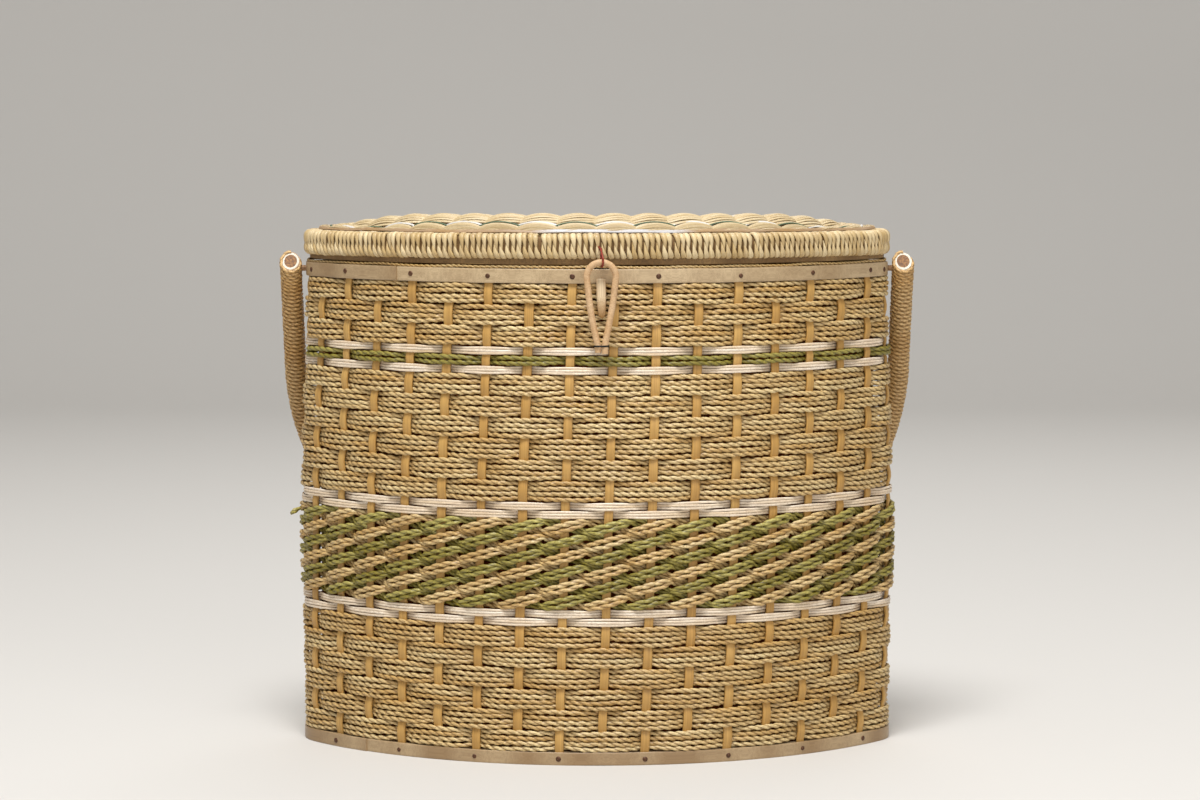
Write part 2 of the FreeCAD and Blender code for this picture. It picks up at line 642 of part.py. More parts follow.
wire_bore = LOOP_ROD_RADIUS + CLASP_WIRE_CLEARANCE
wire_ring_radius = wire_bore + CLASP_WIRE_RADIUS
wire_ring = Part.makeTorus(wire_ring_radius, CLASP_WIRE_RADIUS, loop_pivot, Vector(1, 0, 0))
stem_foot = loop_pivot + Vector(0, 0, wire_ring_radius)
stem_head = Vector(CLASP_OFFSET, rim_middle - BODY_HALF_DEPTH - LID_SIDE_OVERHANG, RIM_BOTTOM + CLASP_WIRE_RISE)
stem_run = stem_head - stem_foot
stem = Part.makeCylinder(CLASP_WIRE_RADIUS, stem_run.Length, stem_foot, stem_run)
pieces["clasp_wire"] = wire_ring.fuse(stem)

os.makedirs("parts", exist_ok=True)
for name, shape in pieces.items():
    shape.exportStep(f"parts/{name}.step")

print("lid hinge", round(HINGE_AXIS_Y, 4), round(HINGE_AXIS_Z, 4))
print("bail pivot", round(PIN_HEIGHT, 4), "lean at rest", round(HANDLE_REST_LEAN, 4))
print("loop pivot", [round(value, 4) for value in loop_pivot])
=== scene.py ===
"""Dresses the lidded basket: twisted cords, splints, hoops, lid, clasp and bail on the CAD frame."""

from __future__ import annotations

import json
import logging
import math
from dataclasses import dataclass, field
from enum import Enum

import bpy
import numpy as np
from mathutils import Euler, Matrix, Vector

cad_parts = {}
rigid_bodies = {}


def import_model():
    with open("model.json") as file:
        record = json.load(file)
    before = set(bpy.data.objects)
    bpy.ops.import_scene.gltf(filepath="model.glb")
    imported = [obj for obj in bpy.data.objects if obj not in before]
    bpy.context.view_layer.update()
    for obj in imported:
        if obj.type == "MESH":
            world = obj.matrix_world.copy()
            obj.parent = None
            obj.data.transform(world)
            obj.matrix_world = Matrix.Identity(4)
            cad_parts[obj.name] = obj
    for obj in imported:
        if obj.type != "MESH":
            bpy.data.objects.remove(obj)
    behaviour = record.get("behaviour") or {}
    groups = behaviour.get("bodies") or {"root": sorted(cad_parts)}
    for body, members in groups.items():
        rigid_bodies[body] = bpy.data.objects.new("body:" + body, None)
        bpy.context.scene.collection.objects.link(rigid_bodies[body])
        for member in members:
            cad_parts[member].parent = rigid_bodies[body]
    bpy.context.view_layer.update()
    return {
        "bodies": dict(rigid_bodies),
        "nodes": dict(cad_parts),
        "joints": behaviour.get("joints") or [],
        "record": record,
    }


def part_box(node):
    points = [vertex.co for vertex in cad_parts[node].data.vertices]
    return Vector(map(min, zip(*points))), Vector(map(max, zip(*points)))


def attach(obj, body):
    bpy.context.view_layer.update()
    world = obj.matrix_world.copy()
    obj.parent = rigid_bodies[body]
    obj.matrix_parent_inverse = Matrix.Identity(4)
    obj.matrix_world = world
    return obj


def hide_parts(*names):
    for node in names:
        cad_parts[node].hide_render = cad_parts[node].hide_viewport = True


LOG = logging.getLogger("basket")
MM = 0.001
TAU = 2.0 * math.pi
SEED = 17
# How far a stake bends in and out between rows, and where it stands straight in the twined zone.
STAKE_BEND = 1.0 * MM
STRAIGHT_GAP = 20.0 * MM
STRAIGHT_AFTER = 6.0 * MM
STRAIGHT_BEFORE = 2.0 * MM
ABOVE_ALL = 1.0
# From the hoop's face in to the middle of the stakes, and the end radii of the two plans.
HOOP_REACH = 2.5 * MM
BODY_CORNER = 21.5 * MM
LID_CORNER = 30.8 * MM
Array = np.ndarray
Colour = tuple[float, float, float]
Direction = tuple[float, float, float]
FRONT: Direction = (0.0, -1.0, 0.0)
UP: Direction = (0.0, 0.0, 1.0)
FRAME: dict = {}


def srgb(red: int, green: int, blue: int) -> Colour:
    """Turn an 8-bit screen colour into linear values.

    Args:
        red: Red from 0 to 255.
        green: Green from 0 to 255.
        blue: Blue from 0 to 255.

    Returns:
        The colour in linear light.
    """
    values = []
    for channel in (red, green, blue):
        share = channel / 255.0
        low = share / 12.92
        high = ((share + 0.055) / 1.055) ** 2.4
        values.append(low if share <= 0.04045 else high)
    return (values[0], values[1], values[2])


class Nodes:
    """A small helper that adds and links nodes in one tree."""

    def __init__(self, tree: bpy.types.NodeTree) -> None:
        """Keep the tree that nodes go into."""
        self.tree = tree

    def add(self, kind: str, **settings: object) -> bpy.types.Node:
        """Add a node and set its properties.

        Args:
            kind: The node's type name.
            settings: Properties of the node.

        Returns:
            The new node.
        """
        node = self.tree.nodes.new(kind)
        for key, value in settings.items():
            setattr(node, key, value)
        return node

    def link(self, start: bpy.types.NodeSocket, end: bpy.types.NodeSocket) -> None:
        """Join an output to an input."""
        self.tree.links.new(start, end)

    def feed(self, socket: bpy.types.NodeSocket, value: object) -> None:
        """Link a socket to an output, or set it to a plain value."""
        if isinstance(value, bpy.types.NodeSocket):
            self.link(value, socket)
        else:
            socket.default_value = value

    def math(self, operation: str, first: object, second: object = 0.0) -> bpy.types.NodeSocket:
        """Add a Math node.

        Args:
            operation: The node's operation.
            first: First value or output.
            second: Second value or output.

        Returns:
            The result's socket.
        """
        node = self.add("ShaderNodeMath", operation=operation)
        self.feed(node.inputs[0], first)
        self.feed(node.inputs[1], second)
        return node.outputs[0]

    def noise(self, vector: bpy.types.NodeSocket, scale: object, detail: float) -> bpy.types.NodeSocket:
        """Add a Noise Texture and return its value output.

        Args:
            vector: Coordinates.
            scale: Scale value or output.
            detail: Octaves.

        Returns:
            The noise value.
        """
        node = self.add("ShaderNodeTexNoise")
        self.link(vector, node.inputs["Vector"])
        self.feed(node.inputs["Scale"], scale)
        node.inputs["Detail"].default_value = detail
        node.inputs["Roughness"].default_value = 0.6
        return node.outputs[0]

    def stretch(self, vector: bpy.types.NodeSocket, amount: object) -> bpy.types.NodeSocket:
        """Multiply coordinates by a vector."""
        node = self.add("ShaderNodeVectorMath", operation="MULTIPLY")
        self.link(vector, node.inputs[0])
        self.feed(node.inputs[1], amount)
        return node.outputs[0]

    def mix(self, share: object, first: object, second: object) -> bpy.types.NodeSocket:
        """Mix two colours by a share.

        Args:
            share: Value or output from 0 to 1.
            first: Colour or output at 0.
            second: Colour or output at 1.

        Returns:
            The mixed colour.
        """
        node = self.add("ShaderNodeMix", data_type="RGBA")
        self.feed(node.inputs[0], share)
        self.feed(node.inputs[6], first)
        self.feed(node.inputs[7], second)
        return node.outputs[2]

    def ramp(self, value: bpy.types.NodeSocket, low: float, high: float) -> bpy.types.NodeSocket:
        """Map a value's range low to high onto 0 to 1, clamped and smooth."""
        node = self.add("ShaderNodeMapRange", interpolation_type="SMOOTHSTEP")
        self.link(value, node.inputs[0])
        node.inputs[1].default_value = low
        node.inputs[2].default_value = high
        return node.outputs[0]

    def tint(self, mask: object, strength: float, base: object, colour: Colour) -> bpy.types.NodeSocket:
        """Mix a colour into a base where a mask shows.

        Args:
            mask: Value or output from 0 to 1.
            strength: Share of the colour where the mask is 1.
            base: Colour or output at 0.
            colour: Colour to mix in.

        Returns:
            The mixed colour.
        """
        return self.mix(self.math("MULTIPLY", mask, strength), base, (*colour, 1.0))

    def around(self, middle: float, swing: float, mask: object) -> bpy.types.NodeSocket:
        """A value that a mask moves by a swing about its middle."""
        return self.math("ADD", middle - swing / 2.0, self.math("MULTIPLY", mask, swing))

    def bump(
        self, shader: bpy.types.Node, height: bpy.types.NodeSocket, strength: float, distance: float
    ) -> None:
        """Bend a shader's normal by a height.

        Args:
            shader: The shader.
            height: Height from 0 to 1.
            strength: The bump's strength.
            distance: The height's full size in metres.
        """
        node = self.add("ShaderNodeBump")
        node.inputs["Strength"].default_value = strength
        node.inputs["Distance"].default_value = distance
        self.link(height, node.inputs["Height"])
        self.link(node.outputs[0], shader.inputs["Normal"])


class Effect(Enum):
    """Node groups that several materials share."""

    FIBRE = "Fibre streaks"
    GRAIN = "Wood grain"
    AGE = "Age and dust"


def new_group(name: str, inputs: dict[str, float], outputs: tuple[str, ...]) -> bpy.types.NodeTree:
    """Make an empty shader group with float sockets.

    Args:
        name: The group's name.
        inputs: Input names and their first values.
        outputs: Output names.

    Returns:
        The group's tree with its input and output nodes in place.
    """
    tree = bpy.data.node_groups.new(name, "ShaderNodeTree")
    for key, value in inputs.items():
        socket = tree.interface.new_socket(key, in_out="INPUT", socket_type="NodeSocketFloat")
        socket.default_value = value
    for key in outputs:
        tree.interface.new_socket(key, in_out="OUTPUT", socket_type="NodeSocketFloat")
    tree.nodes.new("NodeGroupInput")
    tree.nodes.new("NodeGroupOutput")
    return tree


def strand_noise(
    tree: bpy.types.NodeTree, across: str, jump: float, octaves: tuple[float, float], broad_scale: float,
    broad_share: float, limits: tuple[float, float],
) -> bpy.types.NodeSocket:
    """Fill a group's Mask and Height with noise drawn out along a strand, moved on by the strand's tone.

    Args:
        tree: The group, with an Along input.
        across: Name of its other input.
        jump: How far a whole step of tone moves the noise.
        octaves: Detail of the fine and of the broad noise.
        broad_scale: Scale of the broad noise.
        broad_share: Weight of the broad noise.
        limits: Values that become 0 and 1 in Mask.

    Returns:
        The strand coordinates' socket.
    """
    nodes = Nodes(tree)
    source = tree.nodes["Group Input"]
    result = tree.nodes["Group Output"]
    place = nodes.add("ShaderNodeAttribute", attribute_name="fibre").outputs["Vector"]
    tone = nodes.add("ShaderNodeAttribute", attribute_name="tone").outputs["Fac"]
    amount = nodes.add("ShaderNodeCombineXYZ")
    for socket, key in zip(amount.inputs, ("Along", across, across)):
        nodes.link(source.outputs[key], socket)
    shift = nodes.add("ShaderNodeCombineXYZ")
    nodes.link(nodes.math("MULTIPLY", tone, jump), shift.inputs[0])
    moved = nodes.add("ShaderNodeVectorMath", operation="ADD")
    nodes.link(nodes.stretch(place, amount.outputs[0]), moved.inputs[0])
    nodes.link(shift.outputs[0], moved.inputs[1])
    fine = nodes.noise(moved.outputs[0], 1.0, octaves[0])
    broad = nodes.math("MULTIPLY", nodes.noise(moved.outputs[0], broad_scale, octaves[1]), broad_share)
    both = nodes.math("ADD", nodes.math("MULTIPLY", fine, 1.0 - broad_share), broad)
    nodes.link(nodes.ramp(both, *limits), result.inputs["Mask"])
    nodes.link(fine, result.inputs["Height"])
    return place


def make_fibre_group() -> bpy.types.NodeTree:
    """Streaks that run along a strand, from the strand's own coordinates, and the painted shade in the groove
    between its plies.

    Returns:
        The group with Mask, Height and Fold, which is 1 in the groove between two plies, where the painted
        shade goes.
    """
    tree = new_group(Effect.FIBRE.value, {"Along": 60.0, "Around": 5.0}, ("Mask", "Height", "GrooveShade"))
    place = strand_noise(
        tree, "Around", jump=37.0, octaves=(4.0, 2.0), broad_scale=0.23, broad_share=0.3, limits=(0.30, 0.68)
    )
    nodes = Nodes(tree)
    split = nodes.add("ShaderNodeSeparateXYZ")
    nodes.link(place, split.inputs[0])
    crown = nodes.ramp(nodes.math("ABSOLUTE", split.outputs[1]), 0.0, 0.6)
    nodes.link(nodes.math("SUBTRACT", 1.0, crown), tree.nodes["Group Output"].inputs["GrooveShade"])
    return tree


def make_grain_group() -> bpy.types.NodeTree:
    """Fine lines along a split strip, with broader bands.

    Returns:
        The group with Mask and Height.
    """
    tree = new_group(Effect.GRAIN.value, {"Along": 18.0, "Across": 1500.0}, ("Mask", "Height"))
    strand_noise(
        tree, "Across", jump=91.0, octaves=(5.0, 3.0), broad_scale=0.3, broad_share=0.4, limits=(0.32, 0.66)
    )
    return tree


def make_age_group() -> bpy.types.NodeTree:
    """Broad patches of age over the whole object, in object space.

    Returns:
        The group with Mask.
    """
    tree = new_group(Effect.AGE.value, {"Scale": 30.0}, ("Mask",))
    nodes = Nodes(tree)
    place = nodes.add("ShaderNodeTexCoord")
    patch = nodes.noise(place.outputs["Object"], tree.nodes["Group Input"].outputs["Scale"], 4.0)
    nodes.link(nodes.ramp(patch, 0.36, 0.68), tree.nodes["Group Output"].inputs["Mask"])
    return tree


GROUPS: dict[Effect, bpy.types.NodeTree] = {}


def make_groups() -> None:
    """Build the shared node groups once."""
    GROUPS[Effect.FIBRE] = make_fibre_group()
    GROUPS[Effect.GRAIN] = make_grain_group()
    GROUPS[Effect.AGE] = make_age_group()


def place_group(nodes: Nodes, effect: Effect, **values: float) -> bpy.types.Node:
    """Put a shared group into a material.

    Args:
        nodes: The material's helper.
        effect: Which group.
        values: The group's inputs.

    Returns:
        The group node.
    """
    node = nodes.add("ShaderNodeGroup")
    node.node_tree = GROUPS[effect]
    for key, value in values.items():
        node.inputs[key].default_value = value
    return node


def start_material(name: str) -> tuple[bpy.types.Material, Nodes, bpy.types.Node]:
    """Make a material with its node helper and its Principled shader.

    Args:
        name: The material's name.

    Returns:
        The material, the helper and the shader.
    """
    material = bpy.data.materials.new(name)
    material.use_nodes = True
    return material, Nodes(material.node_tree), material.node_tree.nodes["Principled BSDF"]


@dataclass(frozen=True)
class StripFinish:
    """A finish for cords, straws and split wood: three tones, streaks along the strand, painted shade in ply
    grooves, age and bump.

    Attributes:
        name: The material's name.
        slot: The record's slot; not used.
        dark: Colour in streaks, and of the painted shade in ply grooves.
        main: Main colour.
        light: Colour of the palest strands.
        effect: The streak group.
        along: Streak frequency along the strand.
        across: Streak frequency across it.
        roughness: Middle roughness.
        gloss: Specular level.
        bump: Height of the streaks in metres.
        groove_shade: How dark the painted shade in the groove between two plies is.
        streak: How strongly the streaks show.
        age: How strongly the patches of age show.
        age_scale: Frequency of those patches.
        rough_swing: How far the streaks move the roughness.
        bump_strength: Strength of the bump.
    """

    name: str
    slot: str
    dark: Colour
    main: Colour
    light: Colour
    effect: Effect = Effect.FIBRE
    along: float = 60.0
    across: float = 5.0
    roughness: float = 0.62
    gloss: float = 0.35
    bump: float = 0.00012
    groove_shade: float = 0.0
    streak: float = 0.6
    age: float = 0.12
    age_scale: float = 28.0
    rough_swing: float = 0.16
    bump_strength: float = 0.6

    def build(self) -> bpy.types.Material:
        """Make the material.

        Returns:
            The finished material.
        """
        material, nodes, shader = start_material(self.name)
        keys = {"Along": self.along}
        keys["Around" if self.effect is Effect.FIBRE else "Across"] = self.across
        streak = place_group(nodes, self.effect, **keys)
        age = place_group(nodes, Effect.AGE, Scale=self.age_scale)
        tone = nodes.add("ShaderNodeAttribute", attribute_name="tone")
        colour = nodes.mix(tone.outputs["Fac"], (*self.main, 1.0), (*self.light, 1.0))
        valley = nodes.math("SUBTRACT", 1.0, streak.outputs["Mask"])
        colour = nodes.tint(valley, self.streak, colour, self.dark)
        # Painted shade: darken the groove between two plies.
        if self.groove_shade:
            colour = nodes.tint(streak.outputs["GrooveShade"], self.groove_shade, colour, self.dark)
        colour = nodes.tint(age.outputs["Mask"], self.age, colour, self.dark)
        nodes.link(colour, shader.inputs["Base Color"])
        rough = nodes.around(self.roughness, self.rough_swing, streak.outputs["Mask"])
        nodes.link(rough, shader.inputs["Roughness"])
        shader.inputs["Specular IOR Level"].default_value = self.gloss
        nodes.bump(shader, streak.outputs["Height"], self.bump_strength, self.bump)
        return material


@dataclass(frozen=True)
class ClothFinish:
    """A plain-woven cloth.

    Attributes:
        name: The material's name.
        slot: The record's slot; not used.
        dark: Colour between the threads.
        main: Colour of the threads.
        thread: Spacing of the threads in metres.
        cover: Share of the threads' colour on their crowns.
        age: How strongly the patches of age show.
        age_scale: Frequency of those patches.
        roughness: Middle roughness.
        rough_swing: How far the threads move the roughness.
        gloss: Specular level.
        bump: Height of the threads in metres.
        bump_strength: Strength of the bump.
    """

    name: str
    slot: str
    dark: Colour
    main: Colour
    thread: float = 0.0009
    cover: float = 0.8
    age: float = 0.35
    age_scale: float = 18.0
    roughness: float = 0.87
    rough_swing: float = 0.1
    gloss: float = 0.15
    bump: float = 0.0002
    bump_strength: float = 0.7

    def build(self) -> bpy.types.Material:
        """Make the material.

        Returns:
            The finished material.
        """
        material, nodes, shader = start_material(self.name)
        place = nodes.add("ShaderNodeAttribute", attribute_name="fibre")
        split = nodes.add("ShaderNodeSeparateXYZ")
        nodes.link(place.outputs["Vector"], split.inputs[0])
        turn = TAU / (2.0 * self.thread)
        warp = nodes.math("SINE", nodes.math("MULTIPLY", split.outputs[0], turn))
        weft = nodes.math("SINE", nodes.math("MULTIPLY", split.outputs[1], turn))
        height = nodes.math("ADD", nodes.math("MULTIPLY", nodes.math("MULTIPLY", warp, weft), 0.5), 0.5)
        age = place_group(nodes, Effect.AGE, Scale=self.age_scale)
        colour = nodes.tint(height, self.cover, (*self.dark, 1.0), self.main)
        colour = nodes.tint(age.outputs["Mask"], self.age, colour, self.dark)
        nodes.link(colour, shader.inputs["Base Color"])
        nodes.link(nodes.around(self.roughness, self.rough_swing, height), shader.inputs["Roughness"])
        shader.inputs["Specular IOR Level"].default_value = self.gloss
        nodes.bump(shader, height, self.bump_strength, self.bump)
        return material


@dataclass(frozen=True)
class SolidFinish:
    """A finish for plain solids that hold no strand coordinates: wire, tacks, pins, cane ends and the board.

    Attributes:
        name: The material's name.
        slot: The record's slot; not used.
        dark: Colour in pits and worn patches.
        main: Main colour.
        metallic: Metallic value.
        roughness: Middle roughness.
        stretch: Noise frequency along X, Y and Z.
        bump: Height of the surface noise in metres.
        age: How strongly the patches of age show.
        age_scale: Frequency of those patches.
        rough_swing: How far the surface noise moves the roughness.
        bump_strength: Strength of the bump.
    """

    name: str
    slot: str
    dark: Colour
    main: Colour
    metallic: float = 0.0
    roughness: float = 0.5
    stretch: tuple[float, float, float] = (900.0, 900.0, 900.0)
    bump: float = 0.00008
    age: float = 0.3
    age_scale: float = 90.0
    rough_swing: float = 0.2
    bump_strength: float = 0.5

    def build(self) -> bpy.types.Material:
        """Make the material.

        Returns:
            The finished material.
        """
        material, nodes, shader = start_material(self.name)
        place = nodes.add("ShaderNodeTexCoord")
        fine = nodes.noise(nodes.stretch(place.outputs["Object"], self.stretch), 1.0, 4.0)
        mask = nodes.ramp(fine, 0.35, 0.65)
        age = place_group(nodes, Effect.AGE, Scale=self.age_scale)
        colour = nodes.mix(mask, (*self.dark, 1.0), (*self.main, 1.0))
        colour = nodes.tint(age.outputs["Mask"], self.age, colour, self.dark)
        nodes.link(colour, shader.inputs["Base Color"])
        nodes.link(nodes.around(self.roughness, self.rough_swing, mask), shader.inputs["Roughness"])
        shader.inputs["Metallic"].default_value = self.metallic
        nodes.bump(shader, fine, self.bump_strength, self.bump)
        return material


Finish = StripFinish | ClothFinish | SolidFinish

# The fold values below set how dark the painted shade in the ply grooves is.
STRAW = StripFinish(
    "Straw cord", "straw_cord", srgb(112, 74, 26), srgb(208, 170, 104), srgb(240, 218, 164),
    roughness=0.42, gloss=0.55, groove_shade=0.8, streak=0.45,
)
GREEN = StripFinish(
    "Green cord", "green_cord", srgb(60, 50, 10), srgb(144, 130, 46), srgb(206, 194, 112),
    roughness=0.42, gloss=0.5, groove_shade=0.75, streak=0.5,
)
WHITE = StripFinish(
    "White splint", "white_splint", srgb(170, 130, 86), srgb(226, 202, 166), srgb(245, 235, 219),
    Effect.GRAIN, along=22.0, across=1900.0, roughness=0.28, gloss=0.6, bump=0.00004, streak=0.4,
)
STAKE = StripFinish(
    "Golden stake", "stake", srgb(146, 102, 44), srgb(192, 148, 78), srgb(210, 170, 100),
    Effect.GRAIN, along=26.0, across=2300.0, roughness=0.46, gloss=0.45, bump=0.00008,
)
HOOP = StripFinish(
    "Hoop splint", "hoop", srgb(114, 86, 54), srgb(156, 128, 92), srgb(204, 180, 142),
    Effect.GRAIN, along=9.0, across=1500.0, roughness=0.4, gloss=0.5, bump=0.00005, streak=0.45,
)
# Darkened well below the body's hoops as painted shade: the band lies in the shadow under the lid's rim.
SHADED_LID_HOOP = StripFinish(
    "Lid hoop splint in painted shade", "hoop", srgb(66, 44, 22), srgb(126, 96, 58), srgb(158, 126, 82),
    Effect.GRAIN, along=9.0, across=1500.0, roughness=0.6, gloss=0.3, bump=0.00006,
)
RIM_WRAP = StripFinish(
    "Lid rim wrap", "lid_wrap", srgb(128, 90, 40), srgb(202, 174, 120), srgb(232, 212, 168),
    Effect.GRAIN, along=40.0, across=1300.0, roughness=0.44, gloss=0.55, bump=0.00006, streak=0.45,
)
LID_STRAW = StripFinish(
    "Lid straw", "lid_weave", srgb(158, 122, 72), srgb(198, 176, 132), srgb(218, 202, 166),
    Effect.GRAIN, along=26.0, across=1300.0, roughness=0.48, gloss=0.5, bump=0.00006, streak=0.4,
)
LID_GREEN = StripFinish(
    "Lid green thread", "lid_weave", srgb(40, 60, 44), srgb(84, 106, 82), srgb(112, 130, 102),
    Effect.GRAIN, along=60.0, across=2000.0, roughness=0.5, gloss=0.45, bump=0.00005,
)
LID_WHITE = StripFinish(
    "Lid white thread", "lid_weave", srgb(186, 174, 156), srgb(206, 202, 194), srgb(218, 217, 215),
    Effect.GRAIN, along=40.0, across=1600.0, roughness=0.36, gloss=0.5, bump=0.00004, streak=0.35,
)
LID_EDGE = StripFinish(
    "Lid edge strand", "lid_weave", srgb(118, 84, 52), srgb(172, 138, 92), srgb(202, 204, 208),
    Effect.GRAIN, along=14.0, across=1600.0, roughness=0.42, gloss=0.5, bump=0.00004, streak=0.35,
)
BAIL_WRAP = StripFinish(
    "Bail wrap", "handle_wrap", srgb(112, 74, 30), srgb(216, 172, 106), srgb(238, 206, 150),
    roughness=0.45, gloss=0.5, groove_shade=0.65, streak=0.45,
)
LOOP_CANE = StripFinish(
    "Loop cane", "loop_cane", srgb(146, 104, 62), srgb(206, 166, 120), srgb(228, 198, 158),
    Effect.GRAIN, along=30.0, across=1100.0, roughness=0.5, gloss=0.4, bump=0.00006,
)
PEG_CANE = StripFinish(
    "Peg cane", "peg", srgb(150, 104, 52), srgb(204, 160, 100), srgb(234, 214, 178),
    Effect.GRAIN, along=30.0, across=1500.0, roughness=0.48, gloss=0.42, bump=0.00006,
)
LINING = ClothFinish("Rust lining", "lining", srgb(84, 34, 10), srgb(158, 78, 30))
TACK = SolidFinish(
    "Tack iron", "tack", srgb(54, 32, 20), srgb(112, 74, 48),
    metallic=0.4, roughness=0.45, stretch=(2400.0, 2400.0, 2400.0),
)
CLASP_WIRE = SolidFinish(
    "Red wire", "clasp_wire", srgb(104, 30, 18), srgb(170, 62, 44), metallic=0.3, roughness=0.4
)
TIE_WIRE = SolidFinish(
    "Dark wire", "tie_wire", srgb(14, 12, 12), srgb(36, 32, 30), metallic=0.5, roughness=0.45
)
HINGE_WIRE = SolidFinish(
    "Hinge wire", "hinge_wire", srgb(58, 36, 22), srgb(122, 84, 58), metallic=0.7, roughness=0.45
)
PIN_WOOD = SolidFinish(
    "Pin wood", "pin", srgb(110, 76, 44), srgb(170, 130, 88), roughness=0.6, stretch=(200.0, 1500.0, 1500.0)
)
CORE_CANE = SolidFinish("Bail core", "handle_core", srgb(96, 62, 34), srgb(168, 124, 80), roughness=0.7)
SLEEVE = SolidFinish("Bail sleeve", "handle_sleeve", srgb(186, 174, 152), srgb(232, 226, 212))
BASE_WOOD = SolidFinish(
    "Base board", "base", srgb(128, 90, 52), srgb(190, 150, 100), roughness=0.65, stretch=(40.0, 900.0, 900.0)
)

MATERIALS: dict[str, bpy.types.Material] = {}


def dress(thing: bpy.types.Object, finish: Finish) -> None:
    """Give an object a finish.

    Args:
        thing: The object.
        finish: Its finish.
    """
    if finish.name not in MATERIALS:
        MATERIALS[finish.name] = finish.build()
    thing.data.materials.clear()
    thing.data.materials.append(MATERIALS[finish.name])


def steer(path: Array, out: Array, closed: bool) -> tuple[Array, Array]:
    """Frame axes square to a path.

    Args:
        path: Points, n by 3.
        out: Wanted outward directions, n by 3.
        closed: Whether the path joins its start.

    Returns:
        Outward and upward axes for each point.
    """
    if closed:
        along = np.roll(path, -1, axis=0) - np.roll(path, 1, axis=0)
    else:
        along = np.gradient(path, axis=0)
    along /= np.linalg.norm(along, axis=1, keepdims=True)
    normal = out - along * np.sum(out * along, axis=1, keepdims=True)
    normal /= np.linalg.norm(normal, axis=1, keepdims=True)
    return normal, np.cross(normal, along)


def lengths(path: Array) -> Array:
    """Distance along a path at each of its points."""
    steps = np.linalg.norm(np.diff(path, axis=0), axis=1)
    return np.concatenate([[0.0], np.cumsum(steps)])


def squared(wave: Array, power: float) -> Array:
    """A wave with its corners filled out, its signs kept."""
    return np.sign(wave) * np.abs(wave) ** power


def rounded(count: int, sides: int, half_a: Array | float, half_b: Array | float, power: float) -> Array:
    """Superellipse sections, round at power 2 and squarer above it.

    Args:
        count: Sections.
        sides: Points in each.
        half_a: Half size along the outward axis.
        half_b: Half size along the upward axis.
        power: Squareness.

    Returns:
        Sections, count by sides by 2.
    """
    angle = TAU * (np.arange(sides) + 0.5) / sides
    section = np.empty((count, sides, 2))
    section[..., 0] = np.asarray(half_a, float).reshape(-1, 1) * squared(np.cos(angle), 2.0 / power)
    section[..., 1] = np.asarray(half_b, float).reshape(-1, 1) * squared(np.sin(angle), 2.0 / power)
    return section


